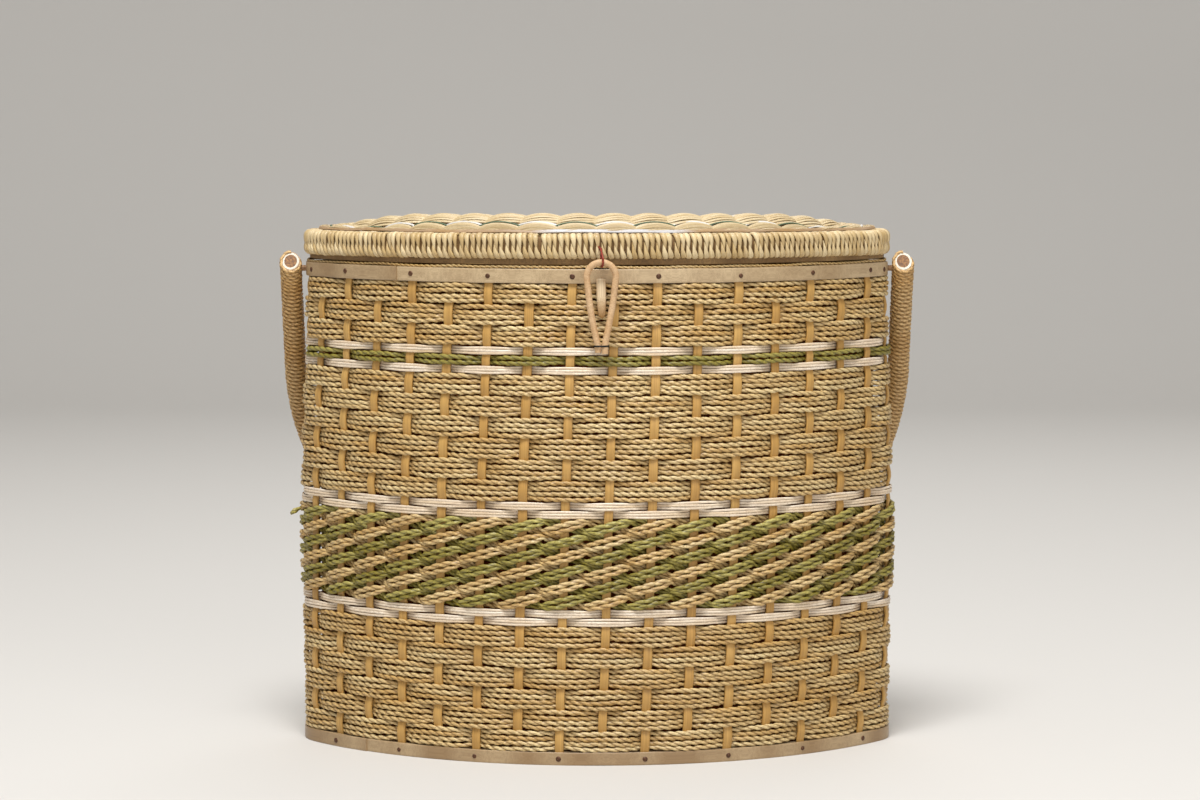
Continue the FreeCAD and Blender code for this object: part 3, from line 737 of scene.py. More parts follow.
@dataclass
class MeshBuilder:
    """Collects swept strips and turns them into one mesh object with strand coordinates and tones."""

    points: list[Array] = field(default_factory=list)
    quads: list[Array] = field(default_factory=list)
    tris: list[Array] = field(default_factory=list)
    fibre: list[Array] = field(default_factory=list)
    tone: list[Array] = field(default_factory=list)
    total: int = 0

    def keep(self, points: Array, fibre: Array, tone: Array) -> int:
        """Store points with their values.

        Args:
            points: Points, n by 3.
            fibre: Strand coordinates, n by 3.
            tone: Tones, n.

        Returns:
            The number of the first point.
        """
        first = self.total
        self.points.append(points)
        self.fibre.append(fibre)
        self.tone.append(tone)
        self.total += len(points)
        return first

    def sweep(
        self, path: Array, out: Array, section: Array, tone: Array | float, closed: bool = False,
        fibre: Array | None = None,
    ) -> None:
        """Sweep sections along a path.

        Args:
            path: Points, n by 3.
            out: Outward directions, n by 3.
            section: Sections, n by m by 2.
            tone: One tone, or one for each point of the path.
            closed: Whether the path joins its start. An open one gets end caps.
            fibre: Strand coordinates, n by m by 3, or None for length and place in the section.
        """
        count, sides = section.shape[:2]
        normal, up = steer(path, out, closed)
        points = path[:, None] + normal[:, None] * section[..., :1] + up[:, None] * section[..., 1:]
        if fibre is None:
            fibre = np.empty((count, sides, 3))
            fibre[..., 0] = lengths(path)[:, None]
            fibre[..., 1:] = section
        tones = np.broadcast_to(np.asarray(tone, float).reshape(-1, 1), (count, sides))
        first = self.keep(points.reshape(-1, 3), fibre.reshape(-1, 3), tones.reshape(-1))
        grid = first + np.arange(count * sides).reshape(count, sides)
        turned = np.roll(grid, -1, axis=1)
        ahead = np.roll(grid, -1, axis=0)
        corner = np.roll(turned, -1, axis=0)
        rows = count if closed else count - 1
        self.quads.append(np.stack([grid, ahead, corner, turned], axis=-1)[:rows].reshape(-1, 4))
        if not closed:
            self.cap(path[0], grid[0], fibre[0].mean(axis=0), tones[0, 0])
            self.cap(path[-1], grid[-1][::-1], fibre[-1].mean(axis=0), tones[-1, 0])

    def cap(self, middle: Array, ring: Array, fibre: Array, tone: float) -> None:
        """Close an end with a fan.

        Args:
            middle: The fan's middle point.
            ring: Point numbers round the end, in the fan's turning order.
            fibre: Strand coordinates of the middle.
            tone: Tone of the middle.
        """
        centre = self.keep(middle[None], fibre[None], np.array([tone]))
        hub = np.full(len(ring), centre)
        self.tris.append(np.stack([hub, ring, np.roll(ring, -1)], axis=-1))

    def sheet(self, points: Array, fibre: Array, tone: float) -> None:
        """Add rings of points as a sheet that is closed round each ring.

        Args:
            points: Rings of points, n by m by 3.
            fibre: Strand coordinates, n by m by 3.
            tone: The sheet's tone.
        """
        count, sides = points.shape[:2]
        first = self.keep(points.reshape(-1, 3), fibre.reshape(-1, 3), np.full(count * sides, tone))
        grid = first + np.arange(count * sides).reshape(count, sides)
        right = np.roll(grid, -1, axis=1)
        faces = np.stack([grid[:-1], grid[1:], right[1:], right[:-1]], axis=-1)
        self.quads.append(faces.reshape(-1, 4))

    def shell(self, points: Array, fibre: Array, tone: float, hub_tone: float) -> None:
        """Add rings of points as a sheet, and close its first and last ring with fans.

        Args:
            points: Rings of points, n by m by 3.
            fibre: Strand coordinates, n by m by 3.
            tone: Tone of the rings.
            hub_tone: Tone of the fans' middles.
        """
        count, sides = points.shape[:2]
        ring = self.total + np.arange(sides)
        self.sheet(points, fibre, tone)
        for numbers, edge in ((ring[::-1], points[0]), (ring + (count - 1) * sides, points[-1])):
            middle = edge.mean(axis=0)
            self.cap(middle, numbers, middle, hub_tone)

    def build(
        self, name: str, finish: Finish, body: str, *nodes: str, sharp: float = 60.0
    ) -> bpy.types.Object:
        """Make the object, dress it, and let it ride a body in place of CAD nodes.

        Args:
            name: The object's name.
            finish: Its finish.
            body: The CAD body that it rides.
            nodes: CAD nodes that it stands for.
            sharp: Angle in degrees above which an edge stays sharp.

        Returns:
            The new object.
        """
        mesh = bpy.data.meshes.new(name)
        points = np.concatenate(self.points)
        quads = np.concatenate(self.quads) if self.quads else np.zeros((0, 4), int)
        tris = np.concatenate(self.tris) if self.tris else np.zeros((0, 3), int)
        corners = np.concatenate([quads.reshape(-1), tris.reshape(-1)]).astype(np.int32)
        starts = np.concatenate([np.arange(len(quads)) * 4, len(quads) * 4 + np.arange(len(tris)) * 3])
        mesh.vertices.add(len(points))
        mesh.vertices.foreach_set("co", points.reshape(-1).astype(np.float32))
        mesh.loops.add(len(corners))
        mesh.loops.foreach_set("vertex_index", corners)
        mesh.polygons.add(len(starts))
        mesh.polygons.foreach_set("loop_start", starts.astype(np.int32))
        mesh.update(calc_edges=True)
        fibre = mesh.attributes.new("fibre", "FLOAT_VECTOR", "POINT")
        fibre.data.foreach_set("vector", np.concatenate(self.fibre).reshape(-1).astype(np.float32))
        tone = mesh.attributes.new("tone", "FLOAT", "POINT")
        tone.data.foreach_set("value", np.concatenate(self.tone).astype(np.float32))
        mesh.shade_smooth()
        mesh.set_sharp_from_angle(angle=math.radians(sharp))
        thing = bpy.data.objects.new(name, mesh)
        bpy.context.scene.collection.objects.link(thing)
        dress(thing, finish)
        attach(thing, body)
        if nodes:
            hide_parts(*nodes)
        LOG.info("%s: %d faces", name, len(starts))
        return thing


@dataclass(frozen=True)
class TwistedCord:
    """A two-ply cord.

    Attributes:
        radius: Half the cord's width over its plies.
        pitch: Length of one full turn of a ply.
        ply_share: Radius of a ply as a share of the cord's.
        sides: Points round the section.
    """

    radius: float = 1.38 * MM
    pitch: float = 9.8 * MM
    ply_share: float = 0.6
    sides: int = 8

    def lay(
        self, builder: MeshBuilder, path: Array, out: Array, start: float, tone: Array | float, closed: bool,
        swell: Array | float = 1.0,
    ) -> None:
        """Lay the cord along a path.

        Args:
            builder: Where the mesh goes.
            path: Points, n by 3.
            out: Outward directions, n by 3.
            start: Turn of the plies at the start.
            tone: Tone or tones.
            closed: Whether the path joins its start.
            swell: Scale of the section at each point.
        """
        along = lengths(path)
        whole = along[-1] + (np.linalg.norm(path[0] - path[-1]) if closed else 0.0)
        turns = max(1, round(whole / self.pitch)) if closed else whole / self.pitch
        angle = TAU * (np.arange(self.sides) + 0.5) / self.sides
        ply = angle[None] + (start + TAU * turns * along / whole)[:, None]
        ply_radius = self.radius * self.ply_share
        gap = self.radius - ply_radius
        reach = gap * np.abs(np.cos(ply)) + np.sqrt(ply_radius**2 - (gap * np.sin(ply)) ** 2)
        reach = reach * np.asarray(swell, float).reshape(-1, 1)
        section = np.stack([reach * np.cos(angle), reach * np.sin(angle)], axis=-1)
        fibre = np.stack([np.broadcast_to(along[:, None], ply.shape), np.cos(ply), np.sin(ply)], axis=-1)
        builder.sweep(path, out, section, tone, closed, fibre)


@dataclass(frozen=True)
class LensPlan:
    """An outline of two broad arcs joined by two small end arcs.

    Attributes:
        half_width: Half the width along X.
        half_depth: Half the depth along Y.
        corner: Radius of the end arcs.
    """

    half_width: float
    half_depth: float
    corner: float

    @property
    def reach(self) -> float:
        """Distance of an end arc's centre from the middle."""
        return self.half_width - self.corner

    @property
    def broad(self) -> float:
        """Radius of the broad arcs."""
        rest = self.half_depth**2 - self.corner**2
        return (self.reach**2 + rest) / (2.0 * (self.half_depth - self.corner))

    @property
    def centre(self) -> float:
        """Distance of a broad arc's centre from the middle."""
        return self.broad - self.half_depth

    @property
    def turn(self) -> float:
        """Half the angle of a broad arc."""
        return math.atan2(self.reach, self.centre)

    @property
    def girth(self) -> float:
        """Length of the whole outline."""
        return 4.0 * self.broad * self.turn + 2.0 * self.corner * (math.pi - 2.0 * self.turn)

    def at(self, along: Array, offset: Array | float) -> tuple[Array, Array]:
        """Points and outward normals on the outline moved out by offset.

        Args:
            along: Distance along the outline from the front middle towards +X.
            offset: How far outside the outline.

        Returns:
            Points and normals, n by 2 each.
        """
        whole = self.girth
        place = np.mod(along, whole)
        flip = place > whole / 2.0
        place = np.where(flip, whole - place, place)
        first = self.broad * self.turn
        second = first + self.corner * (math.pi - 2.0 * self.turn)
        front = place <= first
        back = place > second
        angle = np.where(front, place / self.broad, self.turn + (place - first) / self.corner)
        angle = np.where(back, math.pi - (whole / 2.0 - place) / self.broad, angle)
        radius = np.where(front | back, self.broad, self.corner) + offset
        middle_x = np.where(front | back, 0.0, self.reach)
        middle_y = np.where(front, self.centre, np.where(back, -self.centre, 0.0))
        side = np.where(flip, -1.0, 1.0)
        normal = np.stack([side * np.sin(angle), -np.cos(angle)], axis=-1)
        x = side * (middle_x + np.sin(angle) * radius)
        y = middle_y - np.cos(angle) * radius
        return np.stack([x, y], axis=-1), normal

    def shares(self, step: float) -> Array:
        """Places round the outline as shares of it, about a step apart."""
        return even_shares(round(self.girth / step))


@dataclass(frozen=True)
class Wall:
    """The woven wall: its plan, its spread and belly, and where the stakes stand.

    Attributes:
        plan: Middle of the stakes at the mouth.
        mouth: Height of the mouth.
        spread: How much further out the wall stands at the base.
        belly: How far the wall swells between mouth and base.
        stakes: Number of stakes.
        phase: Place of the front stake as a share of the pitch.
        lean: How far the stakes' feet stand aside of their tops.
    """

    plan: LensPlan
    mouth: float
    spread: float
    belly: float = 2.4 * MM
    stakes: int = 34
    phase: float = 0.56
    lean: float = -7.0 * MM

    @property
    def pitch(self) -> float:
        """Distance between stakes."""
        return self.plan.girth / self.stakes

    def out(self, z: Array | float) -> Array | float:
        """How far outside the mouth's plan the wall stands at a height."""
        share = np.clip(np.asarray(z) / self.mouth, 0.0, 1.0)
        return self.spread * (1.0 - share) + self.belly * np.sin(math.pi * share) ** 2

    def aside(self, z: Array | float) -> Array | float:
        """How far along the wall the lean moves a stake at a height."""
        return self.lean * (1.0 - np.asarray(z) / self.mouth)

    def stake_at(self, index: int, z: Array | float) -> Array | float:
        """Place along the plan of a stake at a height."""
        return (index - self.phase) * self.pitch + self.aside(z)

    def count(self, along: Array, z: Array | float) -> Array:
        """Place along the plan counted in stakes, whole at each stake."""
        return (along - self.aside(z)) / self.pitch + self.phase

    def place(self, along: Array, offset: Array | float, z: Array | float) -> tuple[Array, Array]:
        """Points on the wall and their outward directions.

        Args:
            along: Distance along the plan.
            offset: Distance outside the middle of the stakes.
            z: Height.

        Returns:
            Points and directions, n by 3 each.
        """
        flat, normal = self.plan.at(np.asarray(along, float), offset + self.out(z))
        points = np.column_stack([flat, np.broadcast_to(z, len(flat))])
        return points, np.column_stack([normal, np.zeros(len(flat))])


def ripple(rng: np.random.Generator, turns: Array, size: float) -> Array:
    """A smooth random wave over a closed loop.

    Args:
        rng: Random source.
        turns: Place on the loop from 0 to 1.
        size: About the wave's largest height.

    Returns:
        The wave at each place.
    """
    wave = np.zeros_like(turns)
    for beat in (3, 7, 12, 19, 31):
        wave += rng.uniform(0.3, 1.0) * np.sin(TAU * (beat * turns + rng.uniform()))
    return size * wave / 2.2


def tones(rng: np.random.Generator, turns: Array, middle: Array | float, size: float) -> Array:
    """Tones from 0 to 1 that drift along a loop.

    Args:
        rng: Random source.
        turns: Place on the loop from 0 to 1.
        middle: Middle tone, or one for each place.
        size: About the largest drift.

    Returns:
        The tone at each place.
    """
    return np.clip(middle + ripple(rng, turns, size), 0.0, 1.0)


def even_shares(number: int) -> Array:
    """Even places round a loop, from 0 to less than 1."""
    return np.arange(number) / number


def eased(share: Array) -> Array:
    """A share from 0 to 1 with a soft start and end."""
    return share * share * (3.0 - 2.0 * share)


def steady(direction: Direction, number: int) -> Array:
    """The same direction at each point of a path."""
    return np.tile(direction, (number, 1))


def raised(flat: Array, z: Array | float) -> Array:
    """Flat places lifted to their heights."""
    return np.column_stack([flat, np.broadcast_to(z, len(flat))])


class RowKind(Enum):
    """Kinds of woven row."""

    CORDS = "cord_row"
    SPLINT = "white_splint"
    GREEN = "green_cord"
    TWINING = "twining"


def woven_rows() -> list[tuple[str, RowKind, int]]:
    """The CAD rows from the base up, but for the twined zone, which counts as one row.

    Returns:
        Node name, kind, and which stakes the row passes outside: 0 tacked, 1 plain.
    """
    found = sorted(
        (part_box(node)[0][2], node, kind) for node in FRAME["nodes"] for kind in RowKind if kind.value in node
    )
    rows = []
    order = 0
    twined = False
    for _, node, kind in found:
        if kind is not RowKind.TWINING:
            rows.append((node, kind, 1 - order % 2))
        if kind is not RowKind.TWINING or not twined:
            order += 1
        twined = twined or kind is RowKind.TWINING
    return rows


def stake_bend(z: Array, parity: int) -> Array:
    """How far a stake bends out between the rows that pass it: in behind a row, out before one.

    Args:
        z: Heights.
        parity: 0 for a tacked stake, 1 for a plain one.

    Returns:
        Distances outwards.
    """
    levels = [0.0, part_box("bottom_hoop_outer")[1][2]]
    values = [0.0, 0.0]
    for node, kind, first in woven_rows():
        low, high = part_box(node)
        if low[2] - levels[-1] > STRAIGHT_GAP:
            levels += [levels[-1] + STRAIGHT_AFTER, low[2] - STRAIGHT_BEFORE]
            values += [0.0, 0.0]
        levels.append((low[2] + high[2]) / 2.0)
        size = STAKE_BEND if kind is RowKind.CORDS else STAKE_BEND / 2.0
        values.append(-size if first == parity else size)
    levels += [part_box("top_hoop_outer")[0][2], ABOVE_ALL]
    values += [0.0, 0.0]
    step = np.clip(np.searchsorted(levels, z) - 1, 0, len(levels) - 2)
    start, end = np.array(levels)[step], np.array(levels)[step + 1]
    share = eased((z - start) / (end - start))
    return np.array(values)[step] * (1.0 - share) + np.array(values)[step + 1] * share


@dataclass
class Weave:
    """Rows of cord, white splints, the green band and the twined zone.

    Attributes:
        wall: The wall that they are woven on.
        rng: Random source.
        step: Length of a mesh step along a cord.
        stake_half: Half the thickness of a stake.
        clearance: Gap between a stake and what passes it.
        cord: The plain cord.
        pitches: Least and most share of the cord's pitch that a cord of a row has.
        wander: How far a cord of a row strays up and down.
        sway: How far it strays in and out.
        bulge: How much a row widens where it passes outside a stake.
        dip: How short the dip behind a stake is.
        splint_half: Half the thickness of a splint strand.
        splint_swing: How much further than its own thickness a splint swings.
        twined_rows: Rows of the twined zone.
        twined_scale: Radius of a twined cord as a share of the plain cord's.
        twined_pitches: Least and most share of the cord's pitch there.
        twined_rise: Share of a row's height that a cord rises there.
        twined_dwell: How long a cord stays outside or inside there.
        twined_wander: How far a cord strays up and down there.
        twined_sway: How far it strays in and out there.
        loose_reach: How far the loose green end stands out.
    """

    wall: Wall
    rng: np.random.Generator
    step: float = 1.2 * MM
    stake_half: float = 0.8 * MM
    clearance: float = 0.25 * MM
    cord: TwistedCord = field(default_factory=TwistedCord)
    pitches: tuple[float, float] = (0.88, 1.15)
    wander: float = 0.38 * MM
    sway: float = 0.22 * MM
    bulge: float = 0.06
    dip: float = 3.2
    splint_half: float = 0.42 * MM
    splint_swing: float = 0.7 * MM
    twined_rows: int = 6
    twined_scale: float = 1.06
    twined_pitches: tuple[float, float] = (1.1, 1.35)
    twined_rise: float = 0.66
    twined_dwell: float = 1.5
    twined_wander: float = 0.25 * MM
    twined_sway: float = 0.2 * MM
    loose_reach: float = 6.5 * MM

    @property
    def past_stake(self) -> float:
        """Distance from the middle of the stakes to the nearest face of what passes them."""
        return self.stake_half + self.clearance

    def wave(self, count: Array, first: int) -> Array:
        """A weaver's swing from -1 inside to 1 outside: flat outside, with a short dip behind a stake."""
        share = (1.0 + np.cos(math.pi * (count - first))) / 2.0
        return 1.0 - 2.0 * (1.0 - share) ** self.dip

    def samples(self, every: int = 1) -> tuple[Array, Array]:
        """Places of a row's sections: lengths along the plan, and shares of it."""
        turns = self.wall.plan.shares(self.step)[::every]
        return self.wall.plan.girth * turns, turns

    def cords(self, node: str, first: int, number: int, finish: Finish) -> None:
        """Lay one row of cords.

        Args:
            node: The CAD row that it stands for.
            first: Which stakes it passes outside.
            number: Cords in the row.
            finish: Their finish.
        """
        builder = MeshBuilder()
        low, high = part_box(node)
        along, turns = self.samples()
        middle = (low[2] + high[2]) / 2.0
        pitch = (high[2] - low[2]) / number
        wave = self.wave(self.wall.count(along, middle), first)
        bend = STAKE_BEND * (1.0 if number > 2 else 0.5)
        swing = self.past_stake + self.cord.radius - bend
        for index in range(number):
            level = (index - (number - 1) / 2.0) * pitch
            z = middle + level * (1.0 + self.bulge * (wave - 0.5)) + ripple(self.rng, turns, self.wander)
            path, out = self.wall.place(along, swing * wave + ripple(self.rng, turns, self.sway), z)
            tone = tones(self.rng, turns, self.rng.uniform(0.0, 0.75), 0.3)
            cord = TwistedCord(self.cord.radius, self.cord.pitch * self.rng.uniform(*self.pitches))
            cord.lay(builder, path, out, self.rng.uniform(0.0, TAU), tone, True)
        builder.build(f"{node}_cords", finish, "basket", node)

    def splint(self, node: str, first: int) -> None:
        """Lay one white splint of three thin strands.

        Args:
            node: The CAD splint that it stands for.
            first: Which stakes it passes outside.
        """
        builder = MeshBuilder()
        low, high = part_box(node)
        along, turns = self.samples(every=2)
        middle = (low[2] + high[2]) / 2.0
        strand = (high[2] - low[2]) / 3.0
        count = self.wall.count(along, middle)
        wave = self.wave(count, first)
        full = np.abs(np.cos(math.pi * (count - first))) ** 0.7
        swing = self.past_stake + self.splint_half + self.splint_swing - STAKE_BEND / 2.0
        for index in (-1, 0, 1):
            z = middle + index * strand * (0.86 + 0.16 * full) + ripple(self.rng, turns, 0.12 * MM)
            path, out = self.wall.place(along, swing * wave - 0.12 * MM * abs(index), z)
            height = strand * 0.5 * (0.84 + 0.12 * full)
            section = rounded(len(along), 10, self.splint_half, height, 2.6)
            tone = tones(self.rng, turns, self.rng.uniform(0.3, 0.7), 0.25)
            builder.sweep(path, out, section, tone, True)
        builder.build(f"{node}_strands", WHITE, "basket", node)

    def twining(self) -> None:
        """Lay the twined zone: opposed pairs of cords that rise across each stake."""
        green_low, green_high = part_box("twining_green_strands")
        bottom = green_low[2]
        pitch = (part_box("twining_straw_strands")[1][2] - bottom) / self.twined_rows
        along, turns = self.samples()
        swing = self.past_stake + self.cord.radius
        for strand, (name, finish) in enumerate((("green", GREEN), ("straw", STRAW))):
            builder = MeshBuilder()
            for row in range(self.twined_rows):
                middle = bottom + (row + 0.5) * pitch
                phase = np.mod(self.wall.count(along, middle) - (row + strand) + 0.5, 2.0) - 0.5
                wave = np.tanh(self.twined_dwell * np.cos(math.pi * phase)) / math.tanh(self.twined_dwell)
                rise = np.where(phase <= 0.5, phase, 1.0 - phase)
                rise = self.twined_rise * pitch * (0.7 * rise + 0.15 * np.sin(math.pi * phase))
                for side in (-1, 1):
                    spread = side * self.cord.radius * (0.34 + 0.66 * np.abs(wave))
                    z = middle + rise + spread + ripple(self.rng, turns, self.twined_wander)
                    offset = swing * wave + ripple(self.rng, turns, self.twined_sway)
                    path, out = self.wall.place(along, offset, z)
                    tone = tones(self.rng, turns, self.rng.uniform(0.1, 0.7), 0.25)
                    pitch_here = self.cord.pitch * self.rng.uniform(*self.twined_pitches)
                    cord = TwistedCord(self.cord.radius * self.twined_scale, pitch_here)
                    swell = 0.8 + 0.2 * np.abs(wave)
                    cord.lay(builder, path, out, self.rng.uniform(0.0, TAU), tone, True, swell)
            if name == "green":
                self.loose_end(builder, green_high[2])
            builder.build(f"twining_{name}_cords", finish, "basket", f"twining_{name}_strands")

    def loose_end(self, builder: MeshBuilder, z: float) -> None:
        """Add the short cord end that stands out of the twining at the left end.

        Args:
            builder: Where the mesh goes.
            z: Its height.
        """
        number = 16
        share = np.linspace(0.0, 1.0, number)
        along = -self.wall.plan.girth / 4.0 + 3.0 * MM * share
        path, _ = self.wall.place(along, 1.0 * MM + self.loose_reach * share, z - 2.5 * MM * share**2)
        self.cord.lay(builder, path, steady(UP, number), 0.0, 0.5, False)

    def build(self) -> None:
        """Lay every row."""
        for node, kind, first in woven_rows():
            if kind is RowKind.CORDS:
                self.cords(node, first, 4, STRAW)
            elif kind is RowKind.GREEN:
                self.cords(node, first, 2, GREEN)
            else:
                self.splint(node, first)
        self.twining()


@dataclass
class Carcass:
    """Stakes, hoops, tacks, rim cord, lining and base.

    Attributes:
        wall: The wall.
        rng: Random source.
        stake_width: Width of a stake.
        stake_thickness: Thickness of a stake.
        hoop_thickness: Thickness of a hoop.
        hoop_gap: Gap between a stake and a hoop.
        lap: Length over which a hoop's end laps its start.
        lap_at: Place of the bottom hoop's outer end along the plan.
        top_lap_at: The same for the top hoop.
        tack_radius: Radius of a tack's head.
        stake_steps: Sections along a stake.
        hoop_step: Length of a mesh step along a hoop.
        feather: Thickness of a hoop's inner end as a share of the hoop's.
        lap_ramp: Length over which the outer end climbs on to the inner one.
        lap_thin: How much thinner the outer end is.
        lap_lift: How far the outer end climbs, in thicknesses of the hoop.
        tack_rise: Heights of the sections of a tack's head, in millimetres.
        tack_taper: Their radii as shares of the head's.
        tack_sink: How deep the foot of a head lies in the hoop.
        tack_lift: How much further out a tack on a lap stands.
        tack_margin: Length before a lap over which tacks stand further out too.
        end_clear: Distance from the plan's ends within which the top hoop's stakes have no tack.
        end_tacks: Distances from the left and the right end of the tacks set there.
        mouth_cord: The cord along the mouth.
        mouth_step: Length of a mesh step along it.
        mouth_out: How far outside the middle of the stakes it lies.
        cloth_sides: Points round the lining.
        cloth_rows: Rings on each face of its wall.
        cloth_faces: Distances of its outer and inner face in from the CAD lining's face.
        crease: Depth of its loose creases.
        gather: Depth of its gathers between the stakes.
        hem: How far in from that face and below the top the hem's rings lie, in millimetres.
    """

    wall: Wall
    rng: np.random.Generator
    stake_width: float = 4.6 * MM
    stake_thickness: float = 1.6 * MM
    hoop_thickness: float = 1.5 * MM
    hoop_gap: float = 0.2 * MM
    lap: float = 38.0 * MM
    lap_at: float = -124.0 * MM
    top_lap_at: float = -105.0 * MM
    tack_radius: float = 1.25 * MM
    stake_steps: int = 110
    hoop_step: float = 2.0 * MM
    feather: float = 0.22
    lap_ramp: float = 14.0 * MM
    lap_thin: float = 0.45
    lap_lift: float = 0.8
    tack_rise: tuple[float, ...] = (0.0, 0.45, 0.62, 0.8, 0.92)
    tack_taper: tuple[float, ...] = (1.0, 1.0, 0.92, 0.66, 0.25)
    tack_sink: float = 0.4 * MM
    tack_lift: float = 0.67 * MM
    tack_margin: float = 7.0 * MM
    end_clear: float = 4.0 * MM
    end_tacks: tuple[float, float] = (12.0 * MM, 10.0 * MM)
    mouth_cord: TwistedCord = TwistedCord(0.85 * MM, 6.0 * MM, 0.58)
    mouth_step: float = 0.8 * MM
    mouth_out: float = 1.2 * MM
    cloth_sides: int = 240
    cloth_rows: int = 30
    cloth_faces: tuple[float, float] = (0.6 * MM, 1.6 * MM)
    crease: float = 0.6 * MM
    gather: float = 0.3 * MM
    hem: tuple[tuple[float, float], ...] = ((0.5, 0.3), (1.0, 0.0), (1.6, 0.4))

    @property
    def hoop_foot(self) -> float:
        """Distance from the middle of the stakes to a hoop's near face."""
        return self.stake_thickness / 2.0 + self.hoop_gap

    def stakes(self) -> None:
        """Build the stakes that stand between the hoops."""
        number = self.stake_steps
        for parity, node in ((0, "tacked_stakes"), (1, "plain_stakes")):
            builder = MeshBuilder()
            low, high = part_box(node)
            z = np.linspace(low[2], high[2], number)
            bend = stake_bend(z, parity)
            for index in range(parity, self.wall.stakes, 2):
                turn = ripple(self.rng, np.linspace(0.0, 0.4, number), 0.15 * MM)
                path, out = self.wall.place(self.wall.stake_at(index, z) + turn, bend, z)
                width = self.stake_width / 2.0 * self.rng.uniform(0.94, 1.04)
                section = rounded(number, 12, self.stake_thickness / 2.0, width, 5.0)
                builder.sweep(path, out, section, self.rng.uniform(0.1, 0.9))
            builder.build(f"{node}_split", STAKE, "basket", node)

    def hoop(self, node: str, side: int, lap_at: float) -> None:
        """Bend one splint into a hoop whose end laps its start.

        Args:
            node: The CAD hoop that it stands for.
            side: 1 outside the stakes, -1 inside.
            lap_at: Place of its outer end along the plan.
        """
        builder = MeshBuilder()
        low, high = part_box(node)
        girth = self.wall.plan.girth
        whole = girth + self.lap
        number = round(whole / self.hoop_step)
        run = np.linspace(0.0, whole, number)
        start = np.clip(run / self.lap, 0.0, 1.0)
        climb = eased(np.clip((run - girth + self.lap_ramp) / self.lap_ramp, 0.0, 1.0))
        full = np.minimum(start, 1.0 - self.lap_thin * climb)
        thick = self.hoop_thickness * (self.feather + (1.0 - self.feather) * full)
        offset = self.hoop_foot + thick / 2.0 + self.lap_lift * self.hoop_thickness * climb
        z = (low[2] + high[2]) / 2.0 + ripple(self.rng, run / whole, 0.12 * MM)
        path, out = self.wall.place(lap_at - self.lap + run, side * offset, z)
        section = rounded(number, 16, thick / 2.0, (high[2] - low[2]) / 2.0, 7.0)
        # The bottom hoop is held at a low tone as painted shade. The top hoop's tone falls from pale to darker
        # along the strip.
        tone_and_low_shade = 0.85 - 0.6 * run / whole if node.startswith("top") else 0.25
        builder.sweep(path, out, section, tones(self.rng, run / whole, tone_and_low_shade, 0.35))
        builder.build(f"{node}_splint", HOOP, "basket", node, sharp=40.0)

    def tacks(self) -> None:
        """Set the tacks' domed heads on the outer hoops."""
        girth = self.wall.plan.girth
        face = self.hoop_foot + self.hoop_thickness - self.tack_sink
        number = len(self.tack_rise)
        for node, hoop, lap_at in (
            ("top_tacks", "top_hoop_outer", self.top_lap_at),
            ("bottom_tacks", "bottom_hoop_outer", self.lap_at),
        ):
            builder = MeshBuilder()
            low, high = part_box(hoop)
            z = (low[2] + high[2]) / 2.0
            places = [float(self.wall.stake_at(index, z)) for index in range(0, self.wall.stakes, 2)]
            if node == "top_tacks":
                ends = [abs(place % (girth / 2.0) - girth / 4.0) for place in places]
                places = [place for place, end in zip(places, ends) if end > self.end_clear]
                places += [self.end_tacks[0] - girth / 4.0, girth / 4.0 - self.end_tacks[1]]
            for along in places:
                lapped = (along - lap_at + self.lap + self.tack_margin) % girth < self.lap + self.tack_margin
                up = z + self.rng.uniform(-0.4, 0.4) * MM
                foot, out = self.wall.place(np.array([along]), face + (self.tack_lift if lapped else 0.0), up)
                size = self.tack_radius * np.array(self.tack_taper) * self.rng.uniform(0.88, 1.08)
                path = foot + out * (np.array(self.tack_rise) * MM)[:, None]
                builder.sweep(path, steady(UP, number), rounded(number, 12, size, size, 2.0), 0.5)
            builder.build(f"{node}_heads", TACK, "basket", node)

    def rim_cord(self) -> None:
        """Lay the thin twisted cord along the mouth."""
        builder = MeshBuilder()
        low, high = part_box("rim_cord")
        turns = self.wall.plan.shares(self.mouth_step)
        offset = self.mouth_out + ripple(self.rng, turns, 0.5 * MM)
        z = (low[2] + high[2]) / 2.0 + ripple(self.rng, turns, 0.3 * MM)
        path, out = self.wall.place(self.wall.plan.girth * turns, offset, z)
        self.mouth_cord.lay(builder, path, out, 0.0, tones(self.rng, turns, 0.3, 0.3), True)
        builder.build("rim_cord_twist", STRAW, "basket", "rim_cord")

    def lining(self) -> None:
        """Sew the cloth lining: a shell with a rolled hem, soft creases and a floor."""
        low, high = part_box("lining")
        plan = self.wall.plan
        turns = even_shares(self.cloth_sides)
        along = plan.girth * turns
        face = high[0] - plan.half_width
        outer, inner = self.cloth_faces
        crease = ripple(self.rng, turns, self.crease) + self.gather * np.sin(TAU * self.wall.stakes * turns)
        rings = [(outer, 0.5, z) for z in np.linspace(low[2], high[2] - 1.0 * MM, self.cloth_rows)]
        rings += [(inset * MM, 0.3, high[2] - drop * MM) for inset, drop in self.hem]
        floor = low[2] + 1.2 * MM
        rings += [(inner, 0.5, z) for z in np.linspace(high[2] - 1.6 * MM, floor, self.cloth_rows)]
        points = []
        fibre = []
        for inset, share, z in rings:
            flat, _ = plan.at(along, face - inset + share * crease)
            points.append(raised(flat, z))
            fibre.append(np.column_stack([along, np.full(len(along), z), np.zeros(len(along))]))
        edge = points[-1]
        for share in (0.9, 0.6, 0.3, 0.02):
            points.append(raised(edge[:, :2] * share, floor + 0.3 * MM * math.sin(7.0 * share)))
            fibre.append(points[-1])
        builder = MeshBuilder()
        builder.shell(np.array(points), np.array(fibre), 0.5, 0.5)
        cloth = builder.build("lining_cloth", LINING, "basket", "lining")
        ring = points[0][:, :2]
        height = high[2] - low[2]
        flat = (ring_length(ring), height + float(np.ptp(ring[:, 1])))

